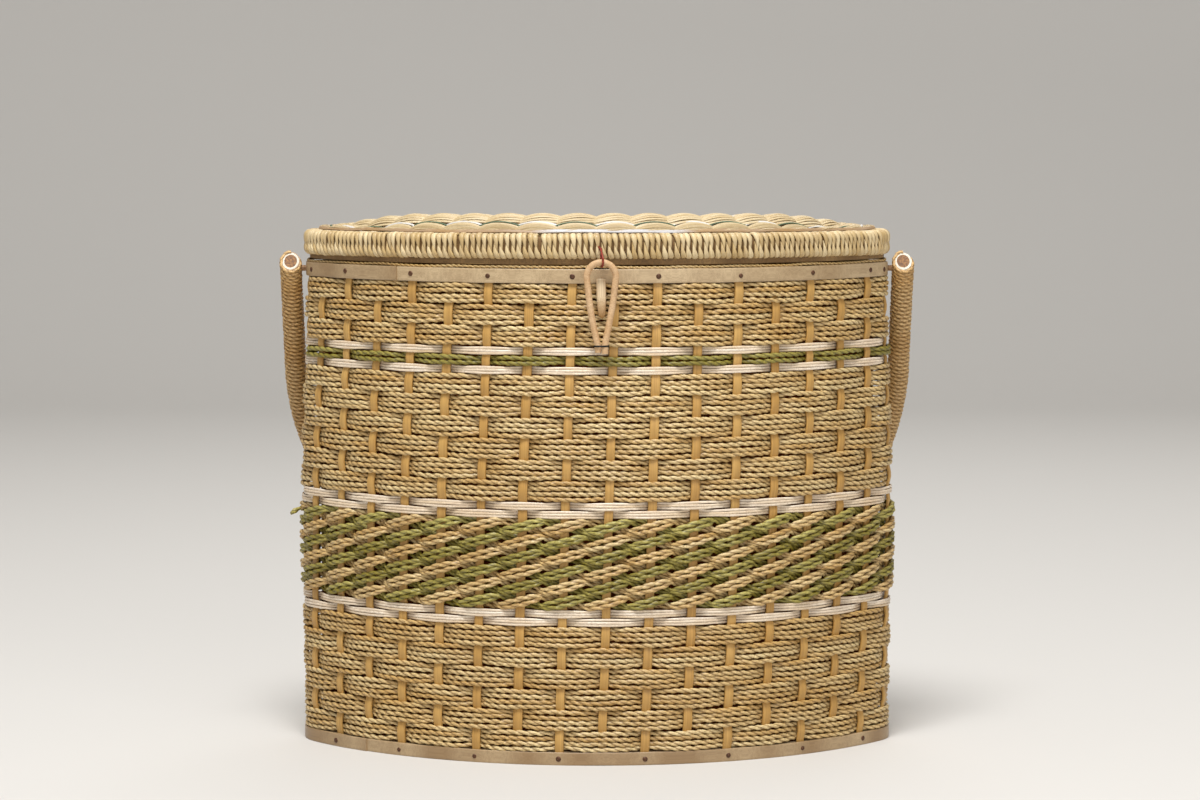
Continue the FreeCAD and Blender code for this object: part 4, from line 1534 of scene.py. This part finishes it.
    def build(self) -> None:
        """Build every piece of the carcass."""
        self.stakes()
        back = self.wall.plan.girth * 0.55
        self.hoop("bottom_hoop_outer", 1, self.lap_at)
        self.hoop("top_hoop_outer", 1, self.top_lap_at)
        self.hoop("bottom_hoop_inner", -1, back)
        self.hoop("top_hoop_inner", -1, back)
        self.tacks()
        self.rim_cord()
        self.lining()
        dress(FRAME["nodes"]["base_board"], BASE_WOOD)
        for side in ("left", "right"):
            dress(FRAME["nodes"][f"handle_pin_{side}"], PIN_WOOD)
            for kind in ("eye", "staple"):
                dress(FRAME["nodes"][f"hinge_{kind}_{side}"], HINGE_WIRE)


def ring_length(ring: Array) -> float:
    """Length round a closed ring of flat points."""
    return float(np.linalg.norm(np.roll(ring, -1, axis=0) - ring, axis=1).sum())


@dataclass
class Lid:
    """The domed lid: wrapped rim, hoop, coiled straw ropes with accent threads, edge strand and lining.

    Attributes:
        plan: Outer plan of the rim.
        rng: Random source.
        rim_half: Half the rim's width.
        wrap_pitch: Distance between wraps.
        strand: Half the thickness of a wrap.
        tip: Angle below mid height at which a wrap from over the top ends.
        slit_every: After how many wraps two of them stand apart.
        slit: How far each of the two then moves aside, in millimetres.
        over_slant: How far a wrap from over the top slants on its way down, in millimetres.
        under_slant: The same for a wrap from under the rim on its way up.
        under_shift: How far along a wrap from under starts, in millimetres.
        under_share: Its tip's angle as a share of the other's.
        bend_at: Angle from which a wrap tapers and slants.
        hang: How far the rim hangs below its CAD place at the middle.
        end_hang: How much further it hangs at its ends.
        edges: Distances in from the rim's outline of the lines between the ropes.
        ribs: Humps round the outer ropes.
        straws: Straws in one of a rope's two bundles.
        hump: Height of a rope's humps.
        shoulder: Distance in at which the dome starts to rise.
        crest: Distance in of its highest line.
        end_start: Distance from the middle at which it starts to fall towards its ends.
        end_run: Length over which it falls there.
        end_fall: How far it falls there.
        back_fall: How steeply it falls behind its crest.
        step: How far the ropes behind the crest lie below it.
        least_corner: Smallest end radius of a rope's outline.
        sunk: How far below the rim's top the dome starts.
        top_room: Room over the valleys for humps and straws.
        step_start: Distance behind the crest at which that step starts.
        step_run: Length of that step.
        beat_start: Where the first hump stands, in humps.
        strand_at: Distance in of the strand along the dome's foot.
        shell_sink: How far the shell under the ropes lies below the valleys.
        shell_insets: Distances in of the shell's rings, in millimetres.
        lining_inset: Distance in of the lining's edge.
    """

    plan: LensPlan
    rng: np.random.Generator
    rim_half: float = 4.5 * MM
    wrap_pitch: float = 3.05 * MM
    strand: float = 0.95 * MM
    tip: float = 0.55
    slit_every: int = 13
    slit: float = 0.55
    over_slant: float = 1.2
    under_slant: float = -1.6
    under_shift: float = 1.28
    under_share: float = 0.45
    bend_at: float = 1.2
    hang: float = 0.8 * MM
    end_hang: float = 1.2 * MM
    edges: tuple[float, ...] = (8.5, 14.5, 30.0, 43.0, 55.0, 66.5, 78.5, 87.5)
    ribs: int = 34
    straws: int = 9
    hump: float = 1.8 * MM
    shoulder: float = 9.0 * MM
    crest: float = 23.0 * MM
    end_start: float = 88.0 * MM
    end_run: float = 48.0 * MM
    end_fall: float = 6.4 * MM
    back_fall: float = 0.039
    step: float = 1.4 * MM
    least_corner: float = 7.0 * MM
    sunk: float = 1.0 * MM
    top_room: float = 2.9 * MM
    step_start: float = 3.0 * MM
    step_run: float = 8.0 * MM
    beat_start: float = 1.03
    strand_at: float = 8.6 * MM
    shell_sink: float = 1.5 * MM
    shell_insets: tuple[float, ...] = (9.3, 14.0, 20.0, 27.0, 36.0, 48.0, 62.0, 76.0, 84.0)
    lining_inset: float = 9.4 * MM

    def rim_core(self) -> None:
        """Bend the hoop whose lower edge shows under the wraps, and the cane that they are wound on, in a
        finish darkened as painted shade.
        """
        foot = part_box("lid_hoop")[0][2]
        low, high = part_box("lid_rim_wrap")
        builder = MeshBuilder()
        number = 360
        turns = even_shares(number)
        flat, normal = self.plan.at(self.plan.girth * turns, -self.rim_half)
        out = raised(normal, 0.0)
        tall = (low[2] + 4.0 * MM - foot) / 2.0
        tone = tones(self.rng, turns, 0.4, 0.5)
        builder.sweep(raised(flat, foot + tall), out, rounded(number, 16, 1.0 * MM, tall, 6.0), tone, True)
        cane = raised(flat, (low[2] + high[2]) / 2.0 - self.droop(flat))
        thick = 2.0 * self.strand
        half = (high[2] - low[2]) / 2.0
        # The cane takes the finish's darkest tone: painted shade where it shows between the wraps.
        builder.sweep(cane, out, rounded(number, 16, self.rim_half - thick, half - thick, 3.2), 0.0, True)
        builder.build("lid_hoop_splint", SHADED_LID_HOOP, "lid", "lid_hoop", sharp=40.0)

    def droop(self, flat: Array) -> Array:
        """How far the rim hangs at places in the plan: a little more towards its ends."""
        return self.hang + self.end_hang * (flat[..., 0] / self.plan.half_width) ** 2

    def wraps(self) -> None:
        """Wind the rim with strands from over its top and from under it, whose tips interleave."""
        builder = MeshBuilder()
        low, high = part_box("lid_rim_wrap")
        middle = (low[2] + high[2]) / 2.0
        half_tall = (high[2] - low[2]) / 2.0 - self.strand
        half_wide = self.rim_half - self.strand
        number = round(self.plan.girth / self.wrap_pitch)
        steps = 20
        slit = self.slit_every
        for index in range(number):
            part = {slit: self.slit, slit - 1: -self.slit}.get(index % (slit + 1), 0.0)
            for side, tip, foot, slant in (
                (1.0, self.tip, part, self.over_slant),
                (-1.0, self.under_share * self.tip, self.under_shift, self.under_slant),
            ):
                angle = np.linspace(math.pi, -tip, steps)
                across = squared(np.cos(angle), 0.6)
                rise = squared(np.sin(angle), 0.75)
                drop = math.sin(tip) ** 0.75
                near = np.clip((rise + drop) / (0.75 + drop), 0.0, 1.0) ** 1.2
                near = np.where(angle > self.bend_at, 1.0, near)
                progress = np.clip((self.bend_at - angle) / (self.bend_at + tip), 0.0, 1.0)
                aside = (foot + slant * progress + self.rng.uniform(-0.3, 0.3)) * MM
                flat, normal = self.plan.at(self.plan.girth * index / number + aside, -self.rim_half)
                reach = half_wide * across - 0.9 * MM * (1.0 - near) ** 2
                level = side * half_tall * rise * self.rng.uniform(0.93, 1.0)
                path = raised(flat + normal * reach[:, None], middle + level - self.droop(flat))
                out = raised(normal * across[:, None], side * rise)
                size = self.strand * self.rng.uniform(0.9, 1.06)
                wide = size * 1.6 * (0.1 + 0.9 * near)
                section = rounded(steps, 8, size * (0.5 + 0.5 * near), wide, 2.1)
                builder.sweep(path, out, section, self.rng.uniform(0.0, 1.0))
        builder.build("lid_rim_winding", RIM_WRAP, "lid", "lid_rim_wrap")

    def ring_plan(self, inset: float) -> LensPlan:
        """The rim's outline moved in, with its ends kept round."""
        depth = self.plan.half_depth - inset
        corner = max(self.plan.corner - inset, min(self.least_corner, 0.7 * depth))
        reach = math.sqrt((self.plan.broad - inset - corner) ** 2 - self.plan.centre**2)
        return LensPlan(reach + corner, depth, corner)

    def height(self, inset: Array | float, flat: Array) -> Array:
        """Height of the dome's valleys.

        Args:
            inset: Distances in from the rim's outline.
            flat: Places in the plan, n by 2.

        Returns:
            Heights.
        """
        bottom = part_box("lid_rim_wrap")[1][2] - self.sunk - self.droop(flat)
        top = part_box("lid_panel")[1][2] - self.top_room
        share = np.clip((np.asarray(inset) - self.shoulder) / (self.crest - self.shoulder), 0.0, 1.0)
        ends = np.clip((np.abs(flat[:, 0]) - self.end_start) / self.end_run, 0.0, 1.2)
        behind = np.clip(flat[:, 1] + self.plan.half_depth - self.crest, 0.0, None)
        step = np.clip((np.asarray(inset) - self.crest - self.step_start) / self.step_run, 0.0, 1.0)
        rise = (top - bottom) * share * (1.35 - 0.35 * share**2) - self.step * step
        return bottom + np.maximum(rise - self.end_fall * ends**1.7 - self.back_fall * behind, 0.0)

    def beats(self, inset: float) -> int:
        """Humps round a rope: fewer towards the middle, and always an even number."""
        girth = self.ring_plan(inset).girth
        share = girth / self.ring_plan(self.edges[1] * MM).girth
        return self.ribs if share > 0.6 else 2 * max(3, round(self.ribs * share * 0.6))

    def ropes(self) -> None:
        """Twine the straw ropes from the rim to the middle: two flat bundles that cross between the humps."""
        for row, (outer, inner) in enumerate(zip(self.edges[:-1], self.edges[1:])):
            builder = MeshBuilder()
            inset = (outer + inner) / 2.0 * MM
            half = (inner - outer) / 2.0 * MM
            plan = self.ring_plan(inset)
            turns = plan.shares(1.7 * MM)
            number = len(turns)
            count = self.beats(inset) * turns + self.beat_start
            for bundle in (0, 1):
                phase = np.mod(count - bundle, 2.0) - 0.5
                wave = np.cos(math.pi * phase)
                rise = np.where(phase <= 0.5, phase, 1.0 - phase)
                spread = 0.7 + 0.3 * np.sqrt(np.clip(wave, 0.0, 1.0))
                for index in range(self.straws):
                    share = (2.0 * index + 1.0) / self.straws - 1.0
                    lateral = half * (share * spread - 0.3 * rise) + ripple(self.rng, turns, 0.2 * MM)
                    flat, normal = plan.at(plan.girth * turns, lateral)
                    crown = 1.2 * MM * (1.0 - share**2) * min(1.0, half / (6.0 * MM))
                    z = self.height(inset - lateral, flat) + self.hump * squared(wave, 0.8) + crown
                    out = raised(normal * 0.5 * share, 1.0)
                    section = rounded(number, 6, 0.55 * MM, 1.04 * half / self.straws, 2.0)
                    tone = tones(self.rng, turns, self.rng.uniform(0.1, 0.9), 0.2)
                    builder.sweep(raised(flat, z), out, section, tone, True)
            node = ("lid_panel",) if row == 1 else ()
            if row == 1:
                self.base(builder)
            builder.build(f"lid_straw_rope_{row}", LID_STRAW, "lid", *node)

    def threads(self) -> None:
        """Twine a green and a white thread between the ropes, over alternate humps."""
        for name, finish, side, thick, wide in (
            ("green", LID_GREEN, 1.0, 0.3 * MM, 0.4 * MM),
            ("white", LID_WHITE, -1.0, 0.34 * MM, 0.65 * MM),
        ):
            builder = MeshBuilder()
            for edge in self.edges[1:-1]:
                inset = edge * MM
                plan = self.ring_plan(inset)
                turns = plan.shares(1.3 * MM)
                wave = np.sin(math.pi * (self.beats(inset) * turns + self.beat_start))
                aside = side * 0.3 * MM + ripple(self.rng, turns, 0.3 * MM)
                flat, normal = plan.at(plan.girth * turns, aside)
                z = self.height(inset, flat) + 0.7 * MM + side * self.hump * squared(wave, 0.8)
                tone = tones(self.rng, turns, 0.5, 0.4)
                section = rounded(len(turns), 8, thick, wide, 2.4)
                builder.sweep(raised(flat, z), raised(normal * 0.6, 1.0), section, tone, True)
            builder.build(f"lid_{name}_threads", finish, "lid")

    def edge_strand(self) -> None:
        """Lay the flat strand along the foot of the dome, white at the front middle and brown elsewhere."""
        builder = MeshBuilder()
        plan = self.ring_plan(self.strand_at)
        turns = plan.shares(1.6 * MM)
        flat, normal = plan.at(plan.girth * turns, ripple(self.rng, turns, 0.3 * MM))
        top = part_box("lid_rim_wrap")[1][2] + 0.5 * MM
        z = top - self.droop(flat) + ripple(self.rng, turns, 0.3 * MM)
        front = np.clip((42.0 * MM - np.abs(flat[:, 0] - 9.0 * MM)) / (14.0 * MM), 0.0, 1.0)
        tone = tones(self.rng, turns, np.where(flat[:, 1] < 0.0, front, 0.0) * 0.9 + 0.1, 0.08)
        section = rounded(len(turns), 8, 0.35 * MM, 0.9 * MM, 3.0)
        builder.sweep(raised(flat, z), raised(normal, 0.7), section, tone, True)
        builder.build("lid_edge_strand", LID_EDGE, "lid")

    def base(self, builder: MeshBuilder) -> None:
        """Close the dome under the ropes with a shell that follows it.

        Args:
            builder: Where the mesh goes.
        """
        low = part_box("lid_panel")[0][2]
        turns = even_shares(160)
        rings = []
        for inset in self.shell_insets:
            plan = self.ring_plan(inset * MM)
            flat, _ = plan.at(plan.girth * turns, 0.0)
            if not rings:
                rings.append(raised(flat, low))
            level = np.maximum(self.height(inset * MM, flat) - self.shell_sink, low + 0.5 * MM)
            rings.append(raised(flat, level))
        builder.shell(np.array(rings), np.array(rings), 0.5, 0.0)

    def lining(self) -> None:
        """Lay the lid's lining with a soft puff and creases."""
        low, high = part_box("lid_lining")
        turns = even_shares(200)
        flat, _ = self.plan.at(self.plan.girth * turns, -self.lining_inset)
        rings = [raised(flat * 0.02, high[2]), raised(flat, high[2]), raised(flat, low[2] + 0.5 * MM)]
        for share in (0.985, 0.95, 0.85, 0.7, 0.5, 0.3, 0.15, 0.02):
            puff = 0.25 * MM * math.cos(9.0 * share) + ripple(self.rng, turns, 0.12 * MM) * share
            rings.append(raised(flat * share, low[2] + 0.25 * MM + puff))
        points = np.array(rings)[:, ::-1]
        builder = MeshBuilder()
        builder.shell(points, points, 0.5, 0.5)
        cloth = builder.build("lid_lining_cloth", LINING, "lid", "lid_lining")

    def build(self) -> None:
        """Build every piece of the lid."""
        self.rim_core()
        self.wraps()
        self.ropes()
        self.threads()
        self.edge_strand()
        self.lining()


def smooth_path(points: Array, number: int) -> Array:
    """A smooth curve through points.

    Args:
        points: Points to pass, n by 3.
        number: Points of the curve.

    Returns:
        The curve.
    """
    padded = np.vstack([2.0 * points[0] - points[1], points, 2.0 * points[-1] - points[-2]])
    place = np.linspace(0.0, len(points) - 1.0, number)
    step = np.minimum(place.astype(int), len(points) - 2)
    share = (place - step)[:, None]
    p0, p1, p2, p3 = (padded[step + shift] for shift in range(4))
    return 0.5 * (
        2.0 * p1 + (p2 - p0) * share + (2.0 * p0 - 5.0 * p1 + 4.0 * p2 - p3) * share**2
        + (3.0 * p1 - p0 - 3.0 * p2 + p3) * share**3
    )


@dataclass
class Clasp:
    """The bent cane loop, its tie, the wire that hangs it and the peg.

    Attributes:
        rng: Random source.
        bow: Radius of the loop's top.
        cane: Radius of the cane.
        wire: Radius of the hanging wire.
    """

    rng: np.random.Generator
    bow: float = 7.2 * MM
    cane: float = 1.65 * MM
    wire: float = 0.5 * MM

    def loop(self) -> None:
        """Bend the cane into a drop-shaped loop with the right tail in front."""
        low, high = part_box("clasp_loop")
        middle = (low[0] + high[0]) / 2.0
        y = (low[1] + high[1]) / 2.0
        top = high[2] - self.cane
        centre = top - self.bow
        tail = self.cane + 0.1 * MM
        number = 150
        rows = []
        for angle in np.linspace(math.radians(-8.0), math.radians(188.0), 15):
            rows.append([middle + self.bow * math.cos(angle), y, centre + self.bow * math.sin(angle)])
        right = [
            [middle + tail, y - 0.5 * MM, low[2]],
            [middle + tail + 0.2 * MM, y - 0.4 * MM, low[2] + 5.0 * MM],
            [middle + tail + 1.9 * MM, y - 0.2 * MM, low[2] + 14.0 * MM],
            [middle + tail + 3.9 * MM, y, low[2] + 25.0 * MM],
        ]
        left = [
            [middle - tail - 4.1 * MM, y, low[2] + 25.0 * MM],
            [middle - tail - 2.3 * MM, y + 0.1 * MM, low[2] + 14.0 * MM],
            [middle - tail - 0.3 * MM, y + 0.1 * MM, low[2] + 5.0 * MM],
            [middle - tail + 0.1 * MM, y + 0.1 * MM, low[2] + 0.6 * MM],
        ]
        path = smooth_path(np.array(right + rows + left), number)
        builder = MeshBuilder()
        share = np.linspace(0.0, 1.0, number)
        size = self.cane * (1.0 + ripple(self.rng, share, 0.03))
        tone = tones(self.rng, share, 0.45, 0.4)
        builder.sweep(path, steady(FRONT, number), rounded(number, 16, size, size, 2.0), tone)
        builder.build("clasp_loop_cane", LOOP_CANE, "clasp", "clasp_loop", sharp=45.0)

    def tie(self) -> None:
        """Wind the thin dark wire round the tails."""
        low, high = (np.array(corner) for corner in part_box("loop_tie"))
        number = 90
        thin = 0.3 * MM
        centre = (low + high) / 2.0
        half = (high - low) / 2.0 - thin
        angle = np.linspace(0.0, 2.2 * TAU, number)
        path = np.column_stack([
            centre[0] + half[0] * squared(np.cos(angle), 0.7),
            centre[1] - 0.15 * MM + (half[1] + 0.15 * MM) * squared(np.sin(angle), 0.85),
            centre[2] + 0.32 * MM * (angle / angle[-1] - 0.5) * 2.0,
        ])
        builder = MeshBuilder()
        builder.sweep(path, steady(UP, number), rounded(number, 8, thin, thin, 2.0), 0.5)
        builder.build("loop_tie_wire", TIE_WIRE, "clasp", "loop_tie")

    def hanger(self) -> None:
        """Bend the red wire from the rim round the loop's top and back."""
        low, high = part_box("clasp_loop")
        number = 90
        x = (low[0] + high[0]) / 2.0
        y = (low[1] + high[1]) / 2.0
        z = high[2] - self.cane
        ring = self.cane + self.wire + 0.15 * MM
        face = y + 4.2 * MM
        points = np.array([
            [x - 1.3 * MM, face + 3.5 * MM, z + 7.4 * MM],
            [x - 1.1 * MM, face - 0.6 * MM, z + 7.3 * MM],
            [x - 0.3 * MM, face - 2.2 * MM, z + 6.2 * MM],
            [x + 0.6 * MM, y - 0.75 * ring, z + 2.6 * MM],
            [x + 0.8 * MM, y - ring, z + 0.1 * MM],
            [x + 0.6 * MM, y - 0.72 * ring, z - 0.72 * ring],
            [x + 0.2 * MM, y, z - ring],
            [x - 0.1 * MM, y + 0.72 * ring, z - 0.72 * ring],
            [x - 0.3 * MM, y + ring, z + 0.1 * MM],
            [x - 0.2 * MM, y + 1.05 * ring, z + 2.6 * MM],
            [x, face + 0.4 * MM, z + 6.0 * MM],
            [x, face + 3.0 * MM, z + 6.6 * MM],
        ])
        path = smooth_path(points, number)
        out = steady((1.0, 0.2, 0.0), number)
        builder = MeshBuilder()
        builder.sweep(path, out, rounded(number, 10, self.wire, self.wire, 2.0), 0.5)
        builder.build("clasp_wire_bent", CLASP_WIRE, "lid", "clasp_wire")

    def peg(self) -> None:
        """Shape the split-cane peg: a tongue from under the hoop, with painted light where it faces up and
        painted shade towards its downward-facing rounded tip.
        """
        low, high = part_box("clasp_peg")
        number = 40
        x = (low[0] + high[0]) / 2.0
        back = low[1] + 2.6 * MM
        share = np.linspace(0.0, 1.0, number)
        z = high[2] + 2.0 * MM - share * (high[2] + 2.0 * MM - low[2])
        bulge = np.sin(math.pi * np.clip(share * 1.05, 0.0, 1.0)) ** 0.7
        y = back + 1.4 * MM - bulge * 2.4 * MM
        end = np.sqrt(np.clip(1.0 - ((share - 0.86) / 0.14).clip(0.0) ** 2, 0.02, 1.0))
        taper = np.where(share > 0.45, 1.0 - 0.3 * (share - 0.45) / 0.55, 1.0)
        wide = 2.45 * MM * taper * end
        deep = 1.25 * MM * np.maximum(end, 0.3)
        path = np.column_stack([x + 0.5 * MM * (share - 0.5), y, z])
        # Painted light and shade: pale where the peg faces up, darker towards its downward-facing tip.
        tone = np.clip(1.35 - 1.9 * np.clip(share - 0.25, 0.0, 1.0), 0.0, 1.0)
        builder = MeshBuilder()
        builder.sweep(path, steady(FRONT, number), rounded(number, 16, deep, wide, 2.3), tone)
        builder.build("clasp_peg_tongue", PEG_CANE, "basket", "clasp_peg")

    def build(self) -> None:
        """Build every piece of the clasp."""
        self.loop()
        self.tie()
        self.hanger()
        self.peg()


@dataclass
class Bail:
    """The swinging handle: wound cord over a pale sleeve and a cane core.

    Attributes:
        rng: Random source.
        leg: Straight length of a leg above its pin.
        stub: Length of a leg below its pin.
        radius: Radius over the winding.
        sleeve: Radius of the sleeve under it.
        shade_bed: Radius of the dark sheet under the cord, painted shade that shows between its turns.
        wrap_pitch: Distance between turns.
        cord: The cord.
        slant: Slant of the cut ends in degrees.
        turn_steps: Mesh steps in one turn of the cord.
        shade_bed_sides: Points round that dark sheet.
        cut_length: Length over which the slant of an end fades.
        sleeve_fit: How far in the winding's end turns, as a share of the sleeve's radius.
        lip_turns: How many turns deep the winding's end is turned in.
    """

    rng: np.random.Generator
    leg: float = 60.0 * MM
    stub: float = 4.0 * MM
    radius: float = 6.0 * MM
    sleeve: float = 4.4 * MM
    shade_bed: float = 4.75 * MM
    wrap_pitch: float = 2.25 * MM
    cord: TwistedCord = TwistedCord(1.14 * MM, 7.4 * MM)
    slant: float = 30.0
    turn_steps: int = 20
    shade_bed_sides: int = 24
    cut_length: float = 14.0 * MM
    sleeve_fit: float = 0.98
    lip_turns: int = 3

    def build(self) -> None:
        """Wind the cord along the bail and dress the sleeve and core."""
        low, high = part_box("handle_wrap")
        span = high[0] - self.radius
        joint = next(item for item in FRAME["joints"] if item["name"] == "handle_swing")
        pivot = np.array(joint["pos_m"])
        rest = self.rest_turn(low[2], pivot[2], span)
        whole = 2.0 * (self.leg + self.stub) + math.pi * span
        turns = round(whole / self.wrap_pitch)
        number = turns * self.turn_steps
        run = np.linspace(0.0, whole, number)
        path = self.line(run, whole, span)
        normal, up = steer(path, steady(FRONT, number), False)
        wind = (turns * TAU * run / whole)[:, None]
        reach = self.radius - self.cord.radius + ripple(self.rng, run / whole, 0.08 * MM)
        out = normal * np.cos(wind) + up * np.sin(wind)
        helix = self.cut(path + out * reach[:, None], run, whole)
        builder = MeshBuilder()
        tone = tones(self.rng, run / whole, 0.45, 0.4)
        self.cord.lay(builder, self.swing(helix, rest) + pivot, self.swing(out, rest), 0.0, tone, False)
        # A dark sheet under the cord. Its zero strand coordinates put it wholly in the painted groove shade,
        # as painted shade between the turns.
        angle = (TAU * even_shares(self.shade_bed_sides))[None, :, None]
        thin = slice(None, None, self.turn_steps)
        ring = normal[thin, None] * np.cos(angle) + up[thin, None] * np.sin(angle)
        tube = path[thin, None] + ring * self.shade_bed
        tube = np.stack([self.cut(tube[:, side], run[thin], whole) for side in range(self.shade_bed_sides)], axis=1)
        tube = self.swing(tube.reshape(-1, 3), rest).reshape(tube.shape) + pivot
        builder.sheet(tube[:, ::-1], np.zeros_like(tube), 0.0)
        for first, flip in ((0, 1), (len(tube) - 1, -1)):
            self.lip(builder, tube, first, flip)
        builder.build("handle_winding", BAIL_WRAP, "handle", "handle_wrap")
        dress(FRAME["nodes"]["handle_sleeve"], SLEEVE)
        dress(FRAME["nodes"]["handle_core"], CORE_CANE)

    def line(self, run: Array, whole: float, span: float) -> Array:
        """The upright bail's middle line.

        Args:
            run: Lengths along it.
            whole: Its whole length.
            span: Half its width.

        Returns:
            Points, n by 3, from the pins' height.
        """
        straight = self.leg + self.stub
        bend = np.clip((run - straight) / span, 0.0, math.pi)
        z = np.where(run < straight, run - self.stub, self.leg + span * np.sin(bend))
        z = np.where(run > whole - straight, whole - run - self.stub, z)
        return np.column_stack([-span * np.cos(bend), np.zeros(len(run)), z])

    def cut(self, points: Array, run: Array, whole: float) -> Array:
        """Points of the upright bail with its ends slanted."""
        fade = np.clip(1.0 - np.minimum(run, whole - run) / self.cut_length, 0.0, 1.0)
        return points + np.outer(math.tan(math.radians(self.slant)) * points[:, 1] * fade, [0.0, 0.0, 1.0])

    def rest_turn(self, lowest: float, pivot_z: float, span: float) -> float:
        """Turn about X that lays an upright bail to its rest behind the body.

        Args:
            lowest: Lowest height of the bail at rest.
            pivot_z: Height of its pins.
            span: Half its width.

        Returns:
            The turn in radians.
        """
        fall = (pivot_z - lowest - self.radius) / (self.leg + span)
        return math.acos(min(1.0, fall)) - math.pi

    def swing(self, points: Array, turn: float) -> Array:
        """Turn points about the X axis."""
        cosine, sine = math.cos(turn), math.sin(turn)
        matrix = np.array([[1.0, 0.0, 0.0], [0.0, cosine, -sine], [0.0, sine, cosine]])
        return points @ matrix.T

    def lip(self, builder: MeshBuilder, points: Array, ring: int, flip: int) -> None:
        """Turn the winding's end in to the sleeve.

        Args:
            builder: Where the mesh goes.
            points: Surface points, n by m by 3.
            ring: Which end ring.
            flip: 1 at the start, -1 at the end.
        """
        edge = points[ring]
        centre = edge.mean(axis=0)
        inner = centre + (edge - centre) * (self.sleeve * self.sleeve_fit / self.shade_bed)
        deeper = inner + (points[ring + flip * self.lip_turns] - edge)
        rings = np.array([edge, inner, deeper])
        order = rings if flip > 0 else rings[:, ::-1]
        # Zero strand coordinates make the turned-in end dark: painted shade at the winding's end.
        builder.sheet(order, np.zeros_like(order), 0.0)


@dataclass
class Studio:
    """Floor, light and camera.

    Attributes:
        distance: Distance of the camera from the basket's middle.
        eye: Height of the camera.
        focal: Focal length in pixels of the photograph's frame.
        width: Width of the photograph's frame in pixels.
        horizon: How many pixels above the frame's middle the horizon lies.
        aside: How far the camera stands to the right of the middle.
        floor_front: Where the floor starts in front.
        floor_back: Where it starts to curve up behind.
        floor_curve: Radius of that curve.
        floor_steps: Mesh steps in it.
        floor_top: Height of the floor's rear edge.
        floor_half: Half the floor's width.
        floor_colour: The floor's colour.
        aim: Place that the lights face.
        world_colour: Colour of the surrounding light.
        world_strength: Its strength.
    """

    distance: float = 1.980
    eye: float = 0.3416
    focal: float = 3827.0
    width: float = 1200.0
    horizon: float = 320.0
    aside: float = 0.0016
    floor_front: float = -3.0
    floor_back: float = 2.0
    floor_curve: float = 0.8
    floor_steps: int = 12
    floor_top: float = 4.0
    floor_half: float = 5.0
    floor_colour: Colour = (0.62, 0.6, 0.57)
    aim: Direction = (0.0, 0.0, 0.14)
    world_colour: Colour = (1.0, 0.98, 0.95)
    world_strength: float = 0.38

    def build(self) -> None:
        """Set up the stage."""
        self.floor()
        self.lights()
        self.camera()
        bpy.context.scene.view_settings.view_transform = "Standard"

    def floor(self) -> None:
        """Lay a pale floor that curves up behind."""
        profile = [(self.floor_front, 0.0), (self.floor_back, 0.0)]
        for index in range(1, self.floor_steps + 1):
            angle = index * math.pi / (2.0 * self.floor_steps)
            y = self.floor_back + self.floor_curve * math.sin(angle)
            profile.append((y, self.floor_curve * (1.0 - math.cos(angle))))
        profile.append((self.floor_back + self.floor_curve, self.floor_top))
        points = [(x, y, z) for y, z in profile for x in (-self.floor_half, self.floor_half)]
        faces = [(2 * i, 2 * i + 1, 2 * i + 3, 2 * i + 2) for i in range(len(profile) - 1)]
        mesh = bpy.data.meshes.new("floor")
        mesh.from_pydata(points, [], faces)
        mesh.shade_smooth()
        floor = bpy.data.objects.new("floor", mesh)
        bpy.context.scene.collection.objects.link(floor)
        material, _, shader = start_material("Pale floor")
        shader.inputs["Base Color"].default_value = (*self.floor_colour, 1.0)
        shader.inputs["Roughness"].default_value = 0.9
        mesh.materials.append(material)

    def lights(self) -> None:
        """Set a large soft key, a fill and even surrounding light."""
        for name, place, size, power in (
            ("key", (-0.15, -1.0, 2.3), 0.9, 62.0),
            ("fill", (0.9, -2.1, 0.9), 1.6, 11.0),
            ("back", (0.3, 1.3, 1.6), 1.2, 8.0),
        ):
            lamp = bpy.data.lights.new(name, "AREA")
            lamp.size = size
            lamp.energy = power
            holder = bpy.data.objects.new(name, lamp)
            holder.location = place
            turn = (Vector(self.aim) - Vector(place)).to_track_quat("-Z", "Y")
            holder.rotation_euler = turn.to_euler()
            bpy.context.scene.collection.objects.link(holder)
        world = bpy.data.worlds.new("Studio")
        world.use_nodes = True
        background = world.node_tree.nodes["Background"]
        background.inputs["Color"].default_value = (*self.world_colour, 1.0)
        background.inputs["Strength"].default_value = self.world_strength
        bpy.context.scene.world = world

    def camera(self) -> None:
        """Set the camera at the photograph's angle."""
        lens = bpy.data.cameras.new("view")
        lens.sensor_fit = "HORIZONTAL"
        lens.sensor_width = 36.0
        lens.lens = self.focal / self.width * lens.sensor_width
        lens.clip_start = 0.05
        holder = bpy.data.objects.new("view", lens)
        holder.location = (self.aside, -self.distance, self.eye)
        tilt = math.atan2(self.horizon, self.focal)
        holder.rotation_euler = Euler((math.pi / 2.0 - tilt, 0.0, 0.0))
        bpy.context.scene.collection.objects.link(holder)
        bpy.context.scene.camera = holder


def clear_scene() -> None:
    """Remove what a new file holds."""
    for thing in list(bpy.data.objects):
        bpy.data.objects.remove(thing)


def main() -> None:
    """Build the classes in order."""
    logging.basicConfig(level=logging.INFO, format="%(name)s %(message)s")
    clear_scene()
    FRAME.update(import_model())
    make_groups()
    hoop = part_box("top_hoop_outer")[1]
    base_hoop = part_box("bottom_hoop_outer")[1]
    plan = LensPlan(hoop[0] - HOOP_REACH, hoop[1] - HOOP_REACH, BODY_CORNER)
    wall = Wall(plan, hoop[2], base_hoop[0] - hoop[0])
    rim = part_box("lid_rim_wrap")[1]
    lid_plan = LensPlan(rim[0], rim[1], LID_CORNER)
    rng = np.random.default_rng(SEED)
    Carcass(wall, rng).build()
    Weave(wall, rng).build()
    Lid(lid_plan, rng).build()
    Clasp(rng).build()
    Bail(rng).build()
    Studio().build()
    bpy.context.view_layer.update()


if __name__ == "__main__":
    main()
